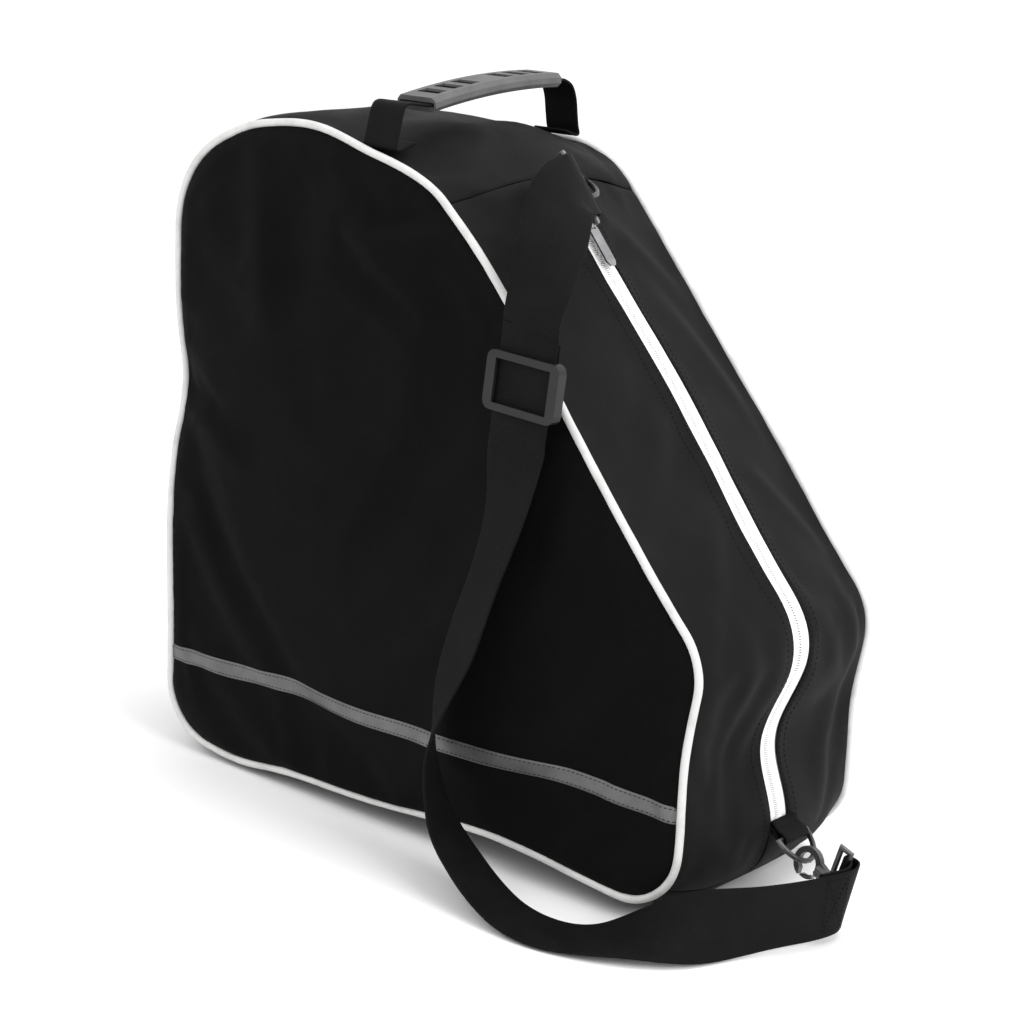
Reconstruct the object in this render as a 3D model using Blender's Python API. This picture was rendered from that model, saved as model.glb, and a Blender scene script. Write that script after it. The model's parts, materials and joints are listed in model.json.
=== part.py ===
"""Boot-shaped soft skate bag: piped side panels, zipped gusset, carry handle and clip-on shoulder strap.

Frame: metres, +Z up, origin on the floor under the middle of the base. +X points to the toe of the bag,
where the zipper runs down; -Y is the right side panel, which the shoulder strap hangs beside.
"""

import math

import bmesh
import bpy
from mathutils import Matrix, Vector

GAP = 0.0003  # between neighbouring pieces

# Bag body: the outline is the centre of the piping, as corners (x, z, radius), anticlockwise from the heel.
HEEL_BOTTOM = (-0.187, 0.011, 0.034)
TOE_BOTTOM = (0.203, 0.011, 0.036)
KNEE = (0.203, 0.155, 0.050)
FRONT_TOP = (-0.013, 0.402, 0.070)
HEEL_TOP = (-0.206, 0.402, 0.070)
CORNERS = (HEEL_BOTTOM, TOE_BOTTOM, KNEE, FRONT_TOP, HEEL_TOP)
ARC_STEPS = 6
WIDTH = 0.180  # between the two piping loops
HALF = WIDTH / 2
CROWN = 0.011  # how far the gusset stands out beyond the piping, at its middle
BASE_FLAT = 0.6  # share of the base's width that lies flat on the floor
PIPING_R = 0.0023
EDGE = PIPING_R + 2 * GAP  # panels and gusset stop this far from the middle of the piping
FABRIC = 0.0020
PANEL = 0.0030
PADDING = 0.0050
PADDING_INSET = 0.010
BOARD = 0.0025

TAPE_Z = 0.066  # middle of the reflective tape
TAPE_WIDTH = 0.010
TAPE_THICK = 0.0007

# Zipper
ZIP_HALF = 0.0075  # middle of the bag to the edge of the gusset fabric
ZIP_TAPE_HALF = 0.015
ZIP_TAPE_THICK = 0.0008
COIL_HALF = 0.0036
COIL_HEIGHT = 0.0018
ZIP_START = 0.012  # below the top seam
SLIDER_REST = 0.034  # from the top seam to the middle of the slider
SLIDER_LENGTH = 0.013
SLIDER_HALF = 0.0058
PULL_LENGTH = 0.030
PULL_HALF = 0.0042

# Carry handle: across the top, webbing through a moulded grip
HANDLE_X = -0.046
HANDLE_WEB_HALF = 0.0125
HANDLE_WEB = 0.0016
GRIP_Y = 0.058
GRIP_NEAR_Z = 0.420
GRIP_FAR_Z = 0.437
GRIP_ARCH = 0.003
GRIP_HALF_WIDTH = 0.0145
GRIP_HALF_HEIGHT = 0.0042
GRIP_WALL_SIDE = 0.0014
GRIP_STEPS = 12
WINDOW_ALONG = 0.0085
WINDOW_ACROSS = 0.016
WINDOW_PITCH = 0.0145
WINDOW_FIRST = 0.016

# Shoulder strap and its hardware
STRAP_HALF = 0.019
WEBBING = 0.0016
WIRE_R = 0.0016
FOLD = 2 * (WIRE_R + GAP) + WEBBING  # between the two layers that go round a bar
LAYERS = WEBBING + 2 * GAP  # between the two layers where they lie together
LOOSE_LAYERS = 0.0030  # middle to middle, where the strap lies back on itself
FOLD_CLOSES = 0.020  # length over which the layers come together
TAB_HALF = 0.012
TAB_LENGTH = 0.009
TAB_RISE = 0.0026  # of the upper tab off the gusset
RING_HALF = 0.0145
RING_DEPTH = 0.0164
HOOK_THICK = 0.0036
HOOK_INNER = 0.0062
HOOK_OUTER = 0.0096
HOOK_CENTRE = 0.0020  # from the ring's wire to the middle of the hook's bow
BARREL_START = 0.0076
BARREL_END = 0.0140
BARREL_R = 0.0042
POST_R = 0.0018
EYE_NEAR = 0.0170
EYE_BAR = 0.0240  # from the middle of the bow to the bar that the strap is looped round
EYE_HALF = STRAP_HALF + 2 * GAP + WIRE_R
EYE_STRAIGHT = 0.005

UPPER_RING_DIRECTION = Vector((0.914, 0, -0.404)).normalized()
UPPER_HOOK_DIRECTION = Vector((0.68, -0.71, 0.18)).normalized()
UPPER_BAR_DIRECTION = Vector((0.50, 0.22, -0.84))
LOWER_RING_DIRECTION = Vector((0.75, 0, -0.66)).normalized()
LOWER_HOOK_DIRECTION = Vector((0.95, -0.20, -0.22)).normalized()
LOWER_BAR_DIRECTION = Vector((-0.22, 0, -0.97))

TRI_GLIDE_CENTRE = Vector((0.085, -0.106, 0.2825))
TRI_GLIDE_DIRECTION = Vector((-0.05, 0, -1)).normalized()
TRI_GLIDE_WIDTH = Vector((1, 0, -0.05)).normalized()
TRI_GLIDE_STRAIGHT = 0.027  # of the strap each way, where the tri-glide can slide
TRI_GLIDE_HALF_WIDTH = 0.0245
TRI_GLIDE_HALF_LENGTH = 0.0165

# Middle of the strap between its two loops, as (point, direction of its width), laid out by hand:
# down from the top hook to the tri-glide, along the side panel to the floor, and on edge to the toe.
STRAP_ABOVE = (
    (Vector((0.0653, -0.0433, 0.3872)), Vector((0.54, 0.24, -0.80))),
    (Vector((0.0692, -0.0640, 0.3820)), Vector((0.70, 0.22, -0.67))),
    (Vector((0.0800, -0.0860, 0.3560)), Vector((0.90, 0.14, -0.40))),
)
STRAP_BELOW = (
    (Vector((0.0820, -0.110, 0.212)), Vector((0.95, -0.30, -0.10))),
    (Vector((0.0755, -0.113, 0.176)), Vector((0.90, -0.42, -0.10))),
    (Vector((0.0660, -0.116, 0.140)), Vector((0.84, -0.53, -0.08))),
    (Vector((0.0555, -0.119, 0.104)), Vector((0.74, -0.67, 0.00))),
    (Vector((0.0555, -0.123, 0.070)), Vector((0.50, -0.86, 0.06))),
    (Vector((0.0710, -0.128, 0.0385)), Vector((0.38, -0.92, 0.10))),
    (Vector((0.0960, -0.134, 0.0180)), Vector((0.34, -0.94, 0.06))),
    (Vector((0.1250, -0.139, 0.0055)), Vector((0.25, -0.97, 0.03))),
    (Vector((0.1530, -0.140, 0.0024)), Vector((0.35, -0.94, 0.00))),
    (Vector((0.1780, -0.133, 0.0042)), Vector((0.42, -0.90, -0.08))),
    (Vector((0.2030, -0.119, 0.0105)), Vector((0.36, -0.82, -0.44))),
    (Vector((0.2270, -0.099, 0.0175)), Vector((0.18, -0.50, -0.85))),
    (Vector((0.2470, -0.072, 0.0205)), Vector((0, -0.08, -1))),
    (Vector((0.2600, -0.043, 0.0215)), Vector((-0.03, 0, -1))),
    (Vector((0.2675, -0.0195, 0.0228)), Vector((-0.12, 0, -0.99))),
)
STRAP_STEP = 0.008
RETURN_LENGTH = 0.040  # the lower loop's sewn end
UPPER_RETURN_STOP = 0.048  # the upper loop's second layer stops this far above the tri-glide's middle

BLACK_FABRIC = ("black_fabric", (0.010, 0.010, 0.011), 0.85, 0.0)
BLACK_WEBBING = ("black_webbing", (0.012, 0.012, 0.013), 0.75, 0.0)
WHITE_PIPING = ("white_piping", (0.80, 0.80, 0.79), 0.45, 0.0)
WHITE_ZIP = ("white_zip", (0.88, 0.88, 0.88), 0.5, 0.0)
REFLECTIVE = ("reflective_tape", (0.16, 0.16, 0.16), 0.35, 0.2)
GREY_GRIP = ("grey_grip", (0.10, 0.10, 0.10), 0.55, 0.0)
DARK_PLASTIC = ("dark_plastic", (0.035, 0.035, 0.036), 0.4, 0.0)
BLACK_METAL = ("black_metal", (0.03, 0.03, 0.032), 0.3, 0.9)
STEEL = ("steel", (0.35, 0.35, 0.36), 0.3, 1.0)
FOAM = ("foam", (0.25, 0.25, 0.26), 0.95, 0.0)
FIBREBOARD = ("fibreboard", (0.20, 0.17, 0.13), 0.9, 0.0)


def clear_scene():
    for obj in list(bpy.data.objects):
        bpy.data.objects.remove(obj, do_unlink=True)


def material(finish):
    name, colour, roughness, metallic = finish
    found = bpy.data.materials.get(name)
    if found:
        return found
    made = bpy.data.materials.new(name)
    made.use_nodes = True
    shader = made.node_tree.nodes["Principled BSDF"]
    shader.inputs["Base Color"].default_value = (*colour, 1)
    shader.inputs["Roughness"].default_value = roughness
    shader.inputs["Metallic"].default_value = metallic
    return made


def add_object(name, points, faces, finish):
    """A mesh object whose faces point outwards, shaded smooth between its sharp edges."""
    mesh = bpy.data.meshes.new(name)
    mesh.from_pydata([tuple(p) for p in points], [], faces)
    shape = bmesh.new()
    shape.from_mesh(mesh)
    bmesh.ops.recalc_face_normals(shape, faces=shape.faces)
    if shape.calc_volume(signed=True) < 0:
        bmesh.ops.reverse_faces(shape, faces=shape.faces)
    shape.to_mesh(mesh)
    shape.free()
    mesh.shade_smooth()
    mesh.set_sharp_from_angle(angle=math.radians(40))
    obj = bpy.data.objects.new(name, mesh)
    obj.data.materials.append(material(finish))
    bpy.context.scene.collection.objects.link(obj)
    return obj


def add_loft(name, rings, finish, closed=False):
    """A skin over rings of equal length, closed into a loop or capped at its two ends."""
    count = len(rings[0])
    points = [p for ring in rings for p in ring]
    faces = []
    pairs = len(rings) if closed else len(rings) - 1
    for i in range(pairs):
        a = i * count
        b = (i + 1) % len(rings) * count
        for j in range(count):
            k = (j + 1) % count
            faces.append((a + j, a + k, b + k, b + j))
    if not closed:
        faces.append(tuple(range(count)))
        faces.append(tuple(range(len(points) - count, len(points))))
    return add_object(name, points, faces, finish)


def boolean(obj, other, operation):
    """Cuts other from obj or joins it to obj, and keeps other as a hidden helper."""
    modifier = obj.modifiers.new(other.name, "BOOLEAN")
    modifier.operation = operation
    modifier.solver = "EXACT"
    modifier.object = other
    other.hide_render = True
    other.display_type = "WIRE"
    return obj


def box_object(name, low, high, finish, place=None):
    corners = [Vector((x, y, z)) for z in (low[2], high[2]) for x, y in (
        (low[0], low[1]), (high[0], low[1]), (high[0], high[1]), (low[0], high[1]))]
    if place:
        corners = [place @ p for p in corners]
    return add_loft(name, [corners[:4], corners[4:]], finish)


def frame_matrix(origin, along, across):
    """Local x along, local y as near to across as stays square to it."""
    x = along.normalized()
    y = (across - across.dot(x) * x).normalized()
    z = x.cross(y)
    return Matrix.Translation(origin) @ Matrix((x, y, z)).transposed().to_4x4()


# ---------------------------------------------------------------- outline of the side panels


def corner_arcs():
    """The stations of each corner's arc, as a list of lists of (x, z)."""
    arcs = []
    for i, (x, z, radius) in enumerate(CORNERS):
        corner = Vector((x, z))
        before = (Vector(CORNERS[i - 1][:2]) - corner).normalized()
        after = (Vector(CORNERS[(i + 1) % len(CORNERS)][:2]) - corner).normalized()
        half = before.angle(after) / 2
        centre = corner + (before + after).normalized() * radius / math.sin(half)
        start = corner + before * radius / math.tan(half) - centre
        turn = math.pi - 2 * half
        arc = []
        for step in range(ARC_STEPS + 1):
            a = turn * step / ARC_STEPS
            arc.append(centre + Vector((
                start.x * math.cos(a) - start.y * math.sin(a),
                start.x * math.sin(a) + start.y * math.cos(a))))
        arcs.append(arc)
    return arcs


ARCS = corner_arcs()
STATIONS = [p for arc in ARCS for p in arc]
PER_ARC = ARC_STEPS + 1
TOE_SEAM = PER_ARC + ARC_STEPS // 2
TOP_SEAM = 3 * PER_ARC
HEEL_SEAM = ARC_STEPS // 2


def station(index):
    return STATIONS[index % len(STATIONS)]


def outward(start, end):
    """Outward normal, in the (x, z) plane, of the run from start to end."""
    run = (end - start).normalized()
    return Vector((run.y, -run.x))


def mitre(index):
    before = outward(station(index - 1), station(index))
    after = outward(station(index), station(index + 1))
    return (before + after) / (1 + before.dot(after))


def offset_outline(distance):
    return [station(i) + mitre(i) * distance for i in range(len(STATIONS))]


def run_along(first, last, trim_first, trim_last):
    """(point, normal) pairs from one station to another, each end cut back by its trim."""
    found = [(station(i), mitre(i)) for i in range(first, last + 1)]
    head = outward(station(first), station(first + 1))
    tail = outward(station(last - 1), station(last))
    start = station(first) + (station(first + 1) - station(first)).normalized() * trim_first
    stop = station(last) + (station(last - 1) - station(last)).normalized() * trim_last
    found[0] = (start, head)
    found[-1] = (stop, tail)
    return found


def crown(y):
    return CROWN * (1 - (y / HALF) ** 2)


def base_crown(y):
    return CROWN * min(1, (1 - (y / HALF) ** 2) / (1 - BASE_FLAT**2))


def add_band(name, run, widths, low, high, finish, shape=crown):
    """A strip of the gusset: it follows run, spans the widths, and is between low and high above its crown."""
    rings = []
    for point, normal in run:
        upper = [(y, shape(y) + high) for y in widths]
        lower = [(y, shape(y) + low) for y in reversed(widths)]
        ring = []
        for y, rise in upper + lower:
            at = point + normal * rise
            ring.append(Vector((at.x, y, at.y)))
        rings.append(ring)
    return add_loft(name, rings, finish)


def spread(low, high, steps):
    return [low + (high - low) * i / steps for i in range(steps + 1)]


def add_plate(name, outline, y_low, y_high, finish):
    """An outline in the (x, z) plane, thickened along Y."""
    rings = [[Vector((p.x, y, p.y)) for p in outline] for y in (y_low, y_high)]
    return add_loft(name, rings, finish)


# ---------------------------------------------------------------- bag body


def build_side(side, sign):
    outer = HALF + PANEL / 2
    inner = HALF - PANEL / 2
    add_plate(f"side_panel_{side}", offset_outline(-EDGE), *sorted((sign * outer, sign * inner)), BLACK_FABRIC)
    pad_outer = inner - GAP
    add_plate(
        f"side_padding_{side}",
        offset_outline(-PADDING_INSET),
        *sorted((sign * pad_outer, sign * (pad_outer - PADDING))),
        FOAM,
    )
    rings = []
    for i in range(len(STATIONS)):
        ring = []
        for corner in range(8):
            a = math.tau * (corner + 0.5) / 8
            at = station(i) + mitre(i) * PIPING_R * math.cos(a)
            ring.append(Vector((at.x, sign * HALF + PIPING_R * math.sin(a), at.y)))
        rings.append(ring)
    add_loft(f"piping_{side}", rings, WHITE_PIPING, closed=True)
    tape_low = sign * (outer + GAP)
    tape_high = sign * (outer + GAP + TAPE_THICK)
    heel_x = back_edge_x(TAPE_Z + TAPE_WIDTH / 2) + 2 * EDGE
    toe_x = TOE_BOTTOM[0] - 2 * EDGE
    y_low, y_high = sorted((tape_low, tape_high))
    box_object(
        f"reflective_tape_{side}",
        (heel_x, y_low, TAPE_Z - TAPE_WIDTH / 2),
        (toe_x, y_high, TAPE_Z + TAPE_WIDTH / 2),
        REFLECTIVE,
    )


def back_edge_x(z):
    """Where the heel edge of the outline is at height z."""
    share = (z - HEEL_BOTTOM[1]) / (HEEL_TOP[1] - HEEL_BOTTOM[1])
    return HEEL_BOTTOM[0] + (HEEL_TOP[0] - HEEL_BOTTOM[0]) * share


def build_gusset():
    whole = spread(-(HALF - EDGE), HALF - EDGE, 10)
    end = len(STATIONS)
    back = run_along(TOP_SEAM, end + HEEL_SEAM, GAP, GAP)
    add_band("top_back_gusset", back, whole, -FABRIC, 0, BLACK_FABRIC)
    base = run_along(HEEL_SEAM, TOE_SEAM, GAP, GAP)
    base_widths = [share * HALF for share in (-0.8, -BASE_FLAT, 0, BASE_FLAT, 0.8)]
    base_widths = [-(HALF - EDGE), *base_widths, HALF - EDGE]
    add_band("base_gusset", base, base_widths, -FABRIC, 0, BLACK_FABRIC, base_crown)
    front = run_along(TOE_SEAM, TOP_SEAM, GAP, GAP)
    zipped = run_along(TOE_SEAM + 2, TOP_SEAM, GAP, ZIP_START)
    tape_high = -FABRIC - GAP
    for side, sign in (("right", -1), ("left", 1)):
        widths = sorted(sign * y for y in spread(ZIP_HALF, HALF - EDGE, 5))
        add_band(f"front_gusset_{side}", front, widths, -FABRIC, 0, BLACK_FABRIC)
        widths = sorted((sign * GAP, sign * ZIP_TAPE_HALF))
        add_band(f"zipper_tape_{side}", zipped, widths, tape_high - ZIP_TAPE_THICK, tape_high, WHITE_ZIP)
        widths = sorted((sign * GAP, sign * COIL_HALF))
        low = tape_high + GAP
        add_band(f"zipper_coil_{side}", zipped, widths, low, low + COIL_HEIGHT, WHITE_ZIP)
    board_low = FABRIC + GAP
    box_object(
        "base_board",
        (HEEL_BOTTOM[0] + 0.038, -0.052, board_low),
        (TOE_BOTTOM[0] - 0.040, 0.052, board_low + BOARD),
        FIBREBOARD,
    )


# ---------------------------------------------------------------- zipper slider


def slope_frame(distance):
    """On the crown of the front slope, this far below the top seam: x down the slope, z out of it."""
    top = station(TOP_SEAM)
    down = station(TOP_SEAM - 1) - top
    normal = outward(station(TOP_SEAM - 1), top)
    at = top + down.normalized() * distance + normal * CROWN
    origin = Vector((at.x, 0, at.y))
    return frame_matrix(origin, Vector((down.x, 0, down.y)), Vector((0, 1, 0)))


def build_slider():
    place = slope_frame(SLIDER_REST)
    half = SLIDER_LENGTH / 2
    skirt = COIL_HALF + 2 * GAP
    floor = -FABRIC
    roof = GAP
    top = 0.0022
    profile = (
        (-SLIDER_HALF, floor), (-skirt, floor), (-skirt, roof), (skirt, roof),
        (skirt, floor), (SLIDER_HALF, floor), (SLIDER_HALF, roof), (SLIDER_HALF - 0.0012, top),
        (-SLIDER_HALF + 0.0012, top), (-SLIDER_HALF, roof),
    )
    rings = [[place @ Vector((x, y, z)) for y, z in profile] for x in (-half, half)]
    add_loft("zipper_slider", rings, STEEL)
    bridge_profile = ((-0.0045, 0), (0.0045, 0), (0.0045, 0.0014), (0.0030, 0.0030), (-0.0030, 0.0030),
                      (-0.0045, 0.0014))
    inner_profile = ((-0.0032, -0.001), (0.0032, -0.001), (0.0032, 0.0008), (0.0022, 0.0019),
                     (-0.0022, 0.0019), (-0.0032, 0.0008))
    bridge = [[place @ Vector((x, y, top - 0.0002 + z)) for x, z in bridge_profile] for y in (-0.0013, 0.0013)]
    slot = [[place @ Vector((x, y, top + 0.0002 + z)) for x, z in inner_profile] for y in (-0.003, 0.003)]
    return place, top, bridge, slot


def build_slider_and_pull():
    place, top, bridge, slot = build_slider()
    slider = bpy.data.objects["zipper_slider"]
    boolean(slider, add_loft("slider_bridge", bridge, STEEL), "UNION")
    boolean(slider, add_loft("slider_bridge_slot", slot, STEEL), "DIFFERENCE")
    pull_low = top + 0.0007
    pull_high = pull_low + 0.0011
    outline = (
        (-0.0012, -0.0034), (0.0030, -0.0034), (0.0060, -PULL_HALF), (PULL_LENGTH - 0.003, -PULL_HALF),
        (PULL_LENGTH, -PULL_HALF + 0.002), (PULL_LENGTH, PULL_HALF - 0.002), (PULL_LENGTH - 0.003, PULL_HALF),
        (0.0060, PULL_HALF), (0.0030, 0.0034), (-0.0012, 0.0034),
    )
    rings = [[place @ Vector((x, y, z)) for x, y in outline] for z in (pull_low, pull_high)]
    pull = add_loft("zipper_pull", rings, STEEL)
    hole = box_object(
        "pull_eye_hole", (-0.0002, -0.0020, pull_low - 0.002), (0.0052, 0.0020, pull_high + 0.002), STEEL, place
    )
    boolean(pull, hole, "DIFFERENCE")


# ---------------------------------------------------------------- carry handle


def grip_z(y):
    share = (y + GRIP_Y) / (2 * GRIP_Y)
    return GRIP_NEAR_Z + (GRIP_FAR_Z - GRIP_NEAR_Z) * share + GRIP_ARCH * (1 - (y / GRIP_Y) ** 2)


def handle_route():
    """Middle of the handle's webbing in the (y, z) plane, from its right leg through the grip to its left leg."""
    right = [(-0.0835, 0.4115), (-0.0830, 0.4170), (-0.0785, 0.4202), (-0.0670, 0.4200)]
    inside = [(y, grip_z(y)) for y in spread(-GRIP_Y, GRIP_Y, GRIP_STEPS)]
    left = [(0.0655, 0.4370), (0.0730, 0.4335), (0.0775, 0.4260), (0.0795, 0.4115)]
    return [Vector(p) for p in right + inside + left]


def across_route(route):
    """(point, unit normal) along a route in the (y, z) plane."""
    found = []
    for i, point in enumerate(route):
        run = route[min(i + 1, len(route) - 1)] - route[max(i - 1, 0)]
        run.normalize()
        found.append((point, Vector((-run.y, run.x))))
    return found


def build_handle():
    rings = []
    for point, normal in across_route(handle_route()):
        ring = []
        for x, rise in ((-1, -1), (1, -1), (1, 1), (-1, 1)):
            at = point + normal * rise * HANDLE_WEB / 2
            ring.append(Vector((HANDLE_X + x * HANDLE_WEB_HALF, at.x, at.y)))
        rings.append(ring)
    add_loft("handle_webbing", rings, BLACK_WEBBING)
    build_grip()
    for side, sign in (("right", -1), ("left", 1)):
        rings = []
        for y in (0.0868, 0.080, 0.0715):
            ring = []
            for x, rise in ((-1, 0.0004), (1, 0.0004), (1, 0.002), (-1, 0.002)):
                z = HEEL_TOP[1] + crown(y) + rise
                ring.append(Vector((HANDLE_X + x * HANDLE_WEB_HALF, sign * y, z)))
            rings.append(ring)
        add_loft(f"handle_anchor_{side}", rings, BLACK_WEBBING)


def rounded_section(half_width, half_height, radius):
    """A rounded rectangle, two points at each corner."""
    w, h, r = half_width, half_height, radius
    return ((-w, -h + r), (-w + r, -h), (w - r, -h), (w, -h + r), (w, h - r), (w - r, h), (-w + r, h), (-w, h - r))


def build_grip():
    """A moulded tube round the webbing, with windows through its upper wall."""
    route = across_route([Vector((y, grip_z(y))) for y in spread(-GRIP_Y, GRIP_Y, GRIP_STEPS)])
    outer = rounded_section(GRIP_HALF_WIDTH, GRIP_HALF_HEIGHT, 0.0026)
    half_width = GRIP_HALF_WIDTH - GRIP_WALL_SIDE
    half_height = HANDLE_WEB / 2 + 0.0005
    inner = rounded_section(half_width, half_height, 0.0004)
    count = len(outer)
    points = []
    for profile in (outer, inner):
        for point, normal in route:
            for x, rise in profile:
                at = point + normal * rise
                points.append(Vector((HANDLE_X + x, at.x, at.y)))
    skip = len(route) * count
    faces = []
    for i in range(len(route) - 1):
        for j in range(count):
            k = (j + 1) % count
            a, b = i * count, (i + 1) * count
            faces.append((a + j, a + k, b + k, b + j))
            faces.append((skip + a + j, skip + b + j, skip + b + k, skip + a + k))
    for a in (0, skip - count):
        for j in range(count):
            k = (j + 1) % count
            faces.append((a + j, skip + a + j, skip + a + k, a + k))
    grip = add_object("handle_grip", points, faces, GREY_GRIP)
    for sign in (-1, 1):
        for i in range(3):
            y = sign * (WINDOW_FIRST + i * WINDOW_PITCH)
            z = grip_z(y)
            low = (HANDLE_X - WINDOW_ACROSS / 2, y - WINDOW_ALONG / 2, z + HANDLE_WEB / 2 + GAP)
            high = (HANDLE_X + WINDOW_ACROSS / 2, y + WINDOW_ALONG / 2, z + 0.012)
            end = "right" if sign < 0 else "left"
            boolean(grip, box_object(f"grip_window_{end}_{i + 1}", low, high, GREY_GRIP), "DIFFERENCE")


# ---------------------------------------------------------------- ribbons


def smooth_route(keys, step):
    """(point, width) pairs at about this spacing along a Catmull-Rom curve through the keys."""
    found = []
    for i in range(len(keys) - 1):
        four = [keys[max(i - 1, 0)], keys[i], keys[i + 1], keys[min(i + 2, len(keys) - 1)]]
        count = max(1, math.ceil((keys[i + 1][0] - keys[i][0]).length / step))
        for j in range(count):
            found.append(tuple(catmull_rom([key[part] for key in four], j / count) for part in (0, 1)))
    found.append(keys[-1])
    return found


def catmull_rom(four, t):
    a, b, c, d = four
    return 0.5 * (2 * b + (c - a) * t + (2 * a - 5 * b + 4 * c - d) * t**2 + (3 * b - a - 3 * c + d) * t**3)


def ribbon_frames(route):
    """(point, tangent, width, normal) along a route of (point, width) pairs."""
    found = []
    for i, (point, width) in enumerate(route):
        tangent = (route[min(i + 1, len(route) - 1)][0] - route[max(i - 1, 0)][0]).normalized()
        square = (width - width.dot(tangent) * tangent).normalized()
        found.append((point, tangent, square, tangent.cross(square)))
    return found


def add_ribbon(name, layers, half_width, thickness, finish, columns=1):
    """A flat strip through (point, width, normal) triples, in more columns where it twists."""
    shares = spread(-1, 1, columns)
    rings = []
    for point, width, normal in layers:
        rise = normal * thickness / 2
        across = width * half_width
        lower = [point + across * share - rise for share in shares]
        upper = [point + across * share + rise for share in reversed(shares)]
        rings.append(lower + upper)
    return add_loft(name, rings, finish)


def half_turn(centre, width, start, steps):
    """(point, width, normal) triples round a bar, from centre + start, turning about the width."""
    found = []
    for i in range(1, steps):
        turned = Matrix.Rotation(math.pi * i / steps, 3, width) @ start
        found.append((centre + turned, width, turned.normalized()))
    return found


def build_tab(name, root, direction):
    """A webbing loop that holds the bar of a D-ring, its two ends side by side at the seam."""
    bar = root + direction * TAB_LENGTH
    width = Vector((0, 1, 0))
    normal = direction.cross(width)
    upper = [
        (root + direction * 0.0022 + normal * LAYERS / 2, width, normal),
        (bar - direction * 0.0034 + normal * (FOLD / 2 - 0.0004), width, normal),
        (bar - direction * 0.0012 + normal * (FOLD / 2 + 0.0001), width, normal),
        (bar + normal * FOLD / 2, width, normal),
    ]
    lower = [(p - 2 * (p - root).dot(normal) * normal, width, -n) for p, width, n in reversed(upper)]
    turn = half_turn(bar, width, normal * FOLD / 2, 6)
    if (turn[2][0] - bar).dot(direction) < 0:
        turn = half_turn(bar, -width, normal * FOLD / 2, 6)
        turn = [(p, width, n) for p, _, n in turn]
    add_ribbon(name, upper + turn + lower, TAB_HALF, WEBBING, BLACK_WEBBING)
    return bar


def build_ring(name, bar, direction, pull):
    """A D-ring: a straight bar along Y and a half ellipse. Returns where a hook settles on it, and the wire there."""
    arc = [ellipse(math.pi * i / 12) for i in range(13)]
    normal = direction.cross(Vector((0, 1, 0)))
    path = [bar + Vector((0, y, 0)) + direction * depth for y, depth in arc]
    rings = []
    for i, point in enumerate(path):
        before = (point - path[i - 1]).normalized()
        after = (path[(i + 1) % len(path)] - point).normalized()
        side = (before.cross(normal) + after.cross(normal)) / (1 + before.dot(after))
        rings.append([
            point + side * WIRE_R * math.cos(math.tau * j / 8) + normal * WIRE_R * math.sin(math.tau * j / 8)
            for j in range(8)
        ])
    add_loft(name, rings, BLACK_METAL, closed=True)
    angle = math.atan2(RING_DEPTH * pull.dot(direction), RING_HALF * pull.y)
    y, depth = ellipse(angle)
    run_y, run_depth = ellipse(angle + math.pi / 2)
    wire = Vector((0, run_y, 0)) + direction * run_depth
    return bar + Vector((0, y, 0)) + direction * depth, wire.normalized()


def ellipse(angle):
    return RING_HALF * math.cos(angle), RING_DEPTH * math.sin(angle)


def arc_points(radius, start, stop, steps):
    """Points about the middle of the bow, angles in degrees from the hook's axis."""
    angles = spread(math.radians(start), math.radians(stop), steps)
    return [(radius * math.cos(a), radius * math.sin(a)) for a in angles]


def build_hook(end, catch, direction, bar_direction):
    """A swivel snap hook: bow and barrel, sprung gate, and the eye that the strap is looped through."""
    point, wire = catch
    middle = point + direction * HOOK_CENTRE
    place = frame_matrix(middle, direction, wire.cross(direction))
    outline = arc_points(HOOK_OUTER, 30, 250, 14) + arc_points(HOOK_INNER, 234, -20, 16)
    outline += [(BARREL_START, -0.0034), (BARREL_END, -0.0034), (BARREL_END, 0.0034)]
    rings = [[place @ Vector((x, y, z)) for x, y in outline] for z in (-HOOK_THICK / 2, HOOK_THICK / 2)]
    hook = add_loft(f"snap_hook_{end}", rings, BLACK_METAL)
    boolean(hook, rod(f"hook_barrel_{end}", place, BARREL_START, BARREL_END + 0.0003, BARREL_R), "UNION")
    socket = rod(f"hook_socket_{end}", place, BARREL_START + 0.0012, BARREL_END + 0.002, POST_R + GAP)
    boolean(hook, socket, "DIFFERENCE")
    gate = arc_points(0.0090, 256, 318, 6) + arc_points(0.0067, 318, 264, 6)
    rings = [[place @ Vector((x, y, z)) for x, y in gate] for z in (-0.0012, 0.0012)]
    add_loft(f"hook_gate_{end}", rings, STEEL)
    eye_place = frame_matrix(middle, direction, bar_direction)
    path = [Vector((EYE_NEAR, -EYE_HALF, 0)), Vector((EYE_NEAR, EYE_HALF, 0)),
            Vector((EYE_BAR, EYE_HALF, 0)), Vector((EYE_BAR, -EYE_HALF, 0))]
    rings = []
    for i, point in enumerate(path):
        before = (point - path[i - 1]).normalized()
        after = (path[(i + 1) % 4] - point).normalized()
        up = Vector((0, 0, 1))
        side = (before.cross(up) + after.cross(up)) / (1 + before.dot(after))
        rings.append([
            eye_place @ (point + side * WIRE_R * math.cos(math.tau * j / 8) + up * WIRE_R * math.sin(math.tau * j / 8))
            for j in range(8)
        ])
    eye = add_loft(f"hook_eye_{end}", rings, BLACK_METAL, closed=True)
    boolean(eye, rod(f"eye_post_{end}", eye_place, BARREL_START + 0.0016, EYE_NEAR, POST_R), "UNION")
    return middle + direction * EYE_BAR


def rod(name, place, start, stop, radius):
    rings = [
        [place @ Vector((x, radius * math.cos(a), radius * math.sin(a))) for a in spread(0, math.tau, 12)[:-1]]
        for x in (start, stop)
    ]
    return add_loft(name, rings, BLACK_METAL)


# ---------------------------------------------------------------- shoulder strap


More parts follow.
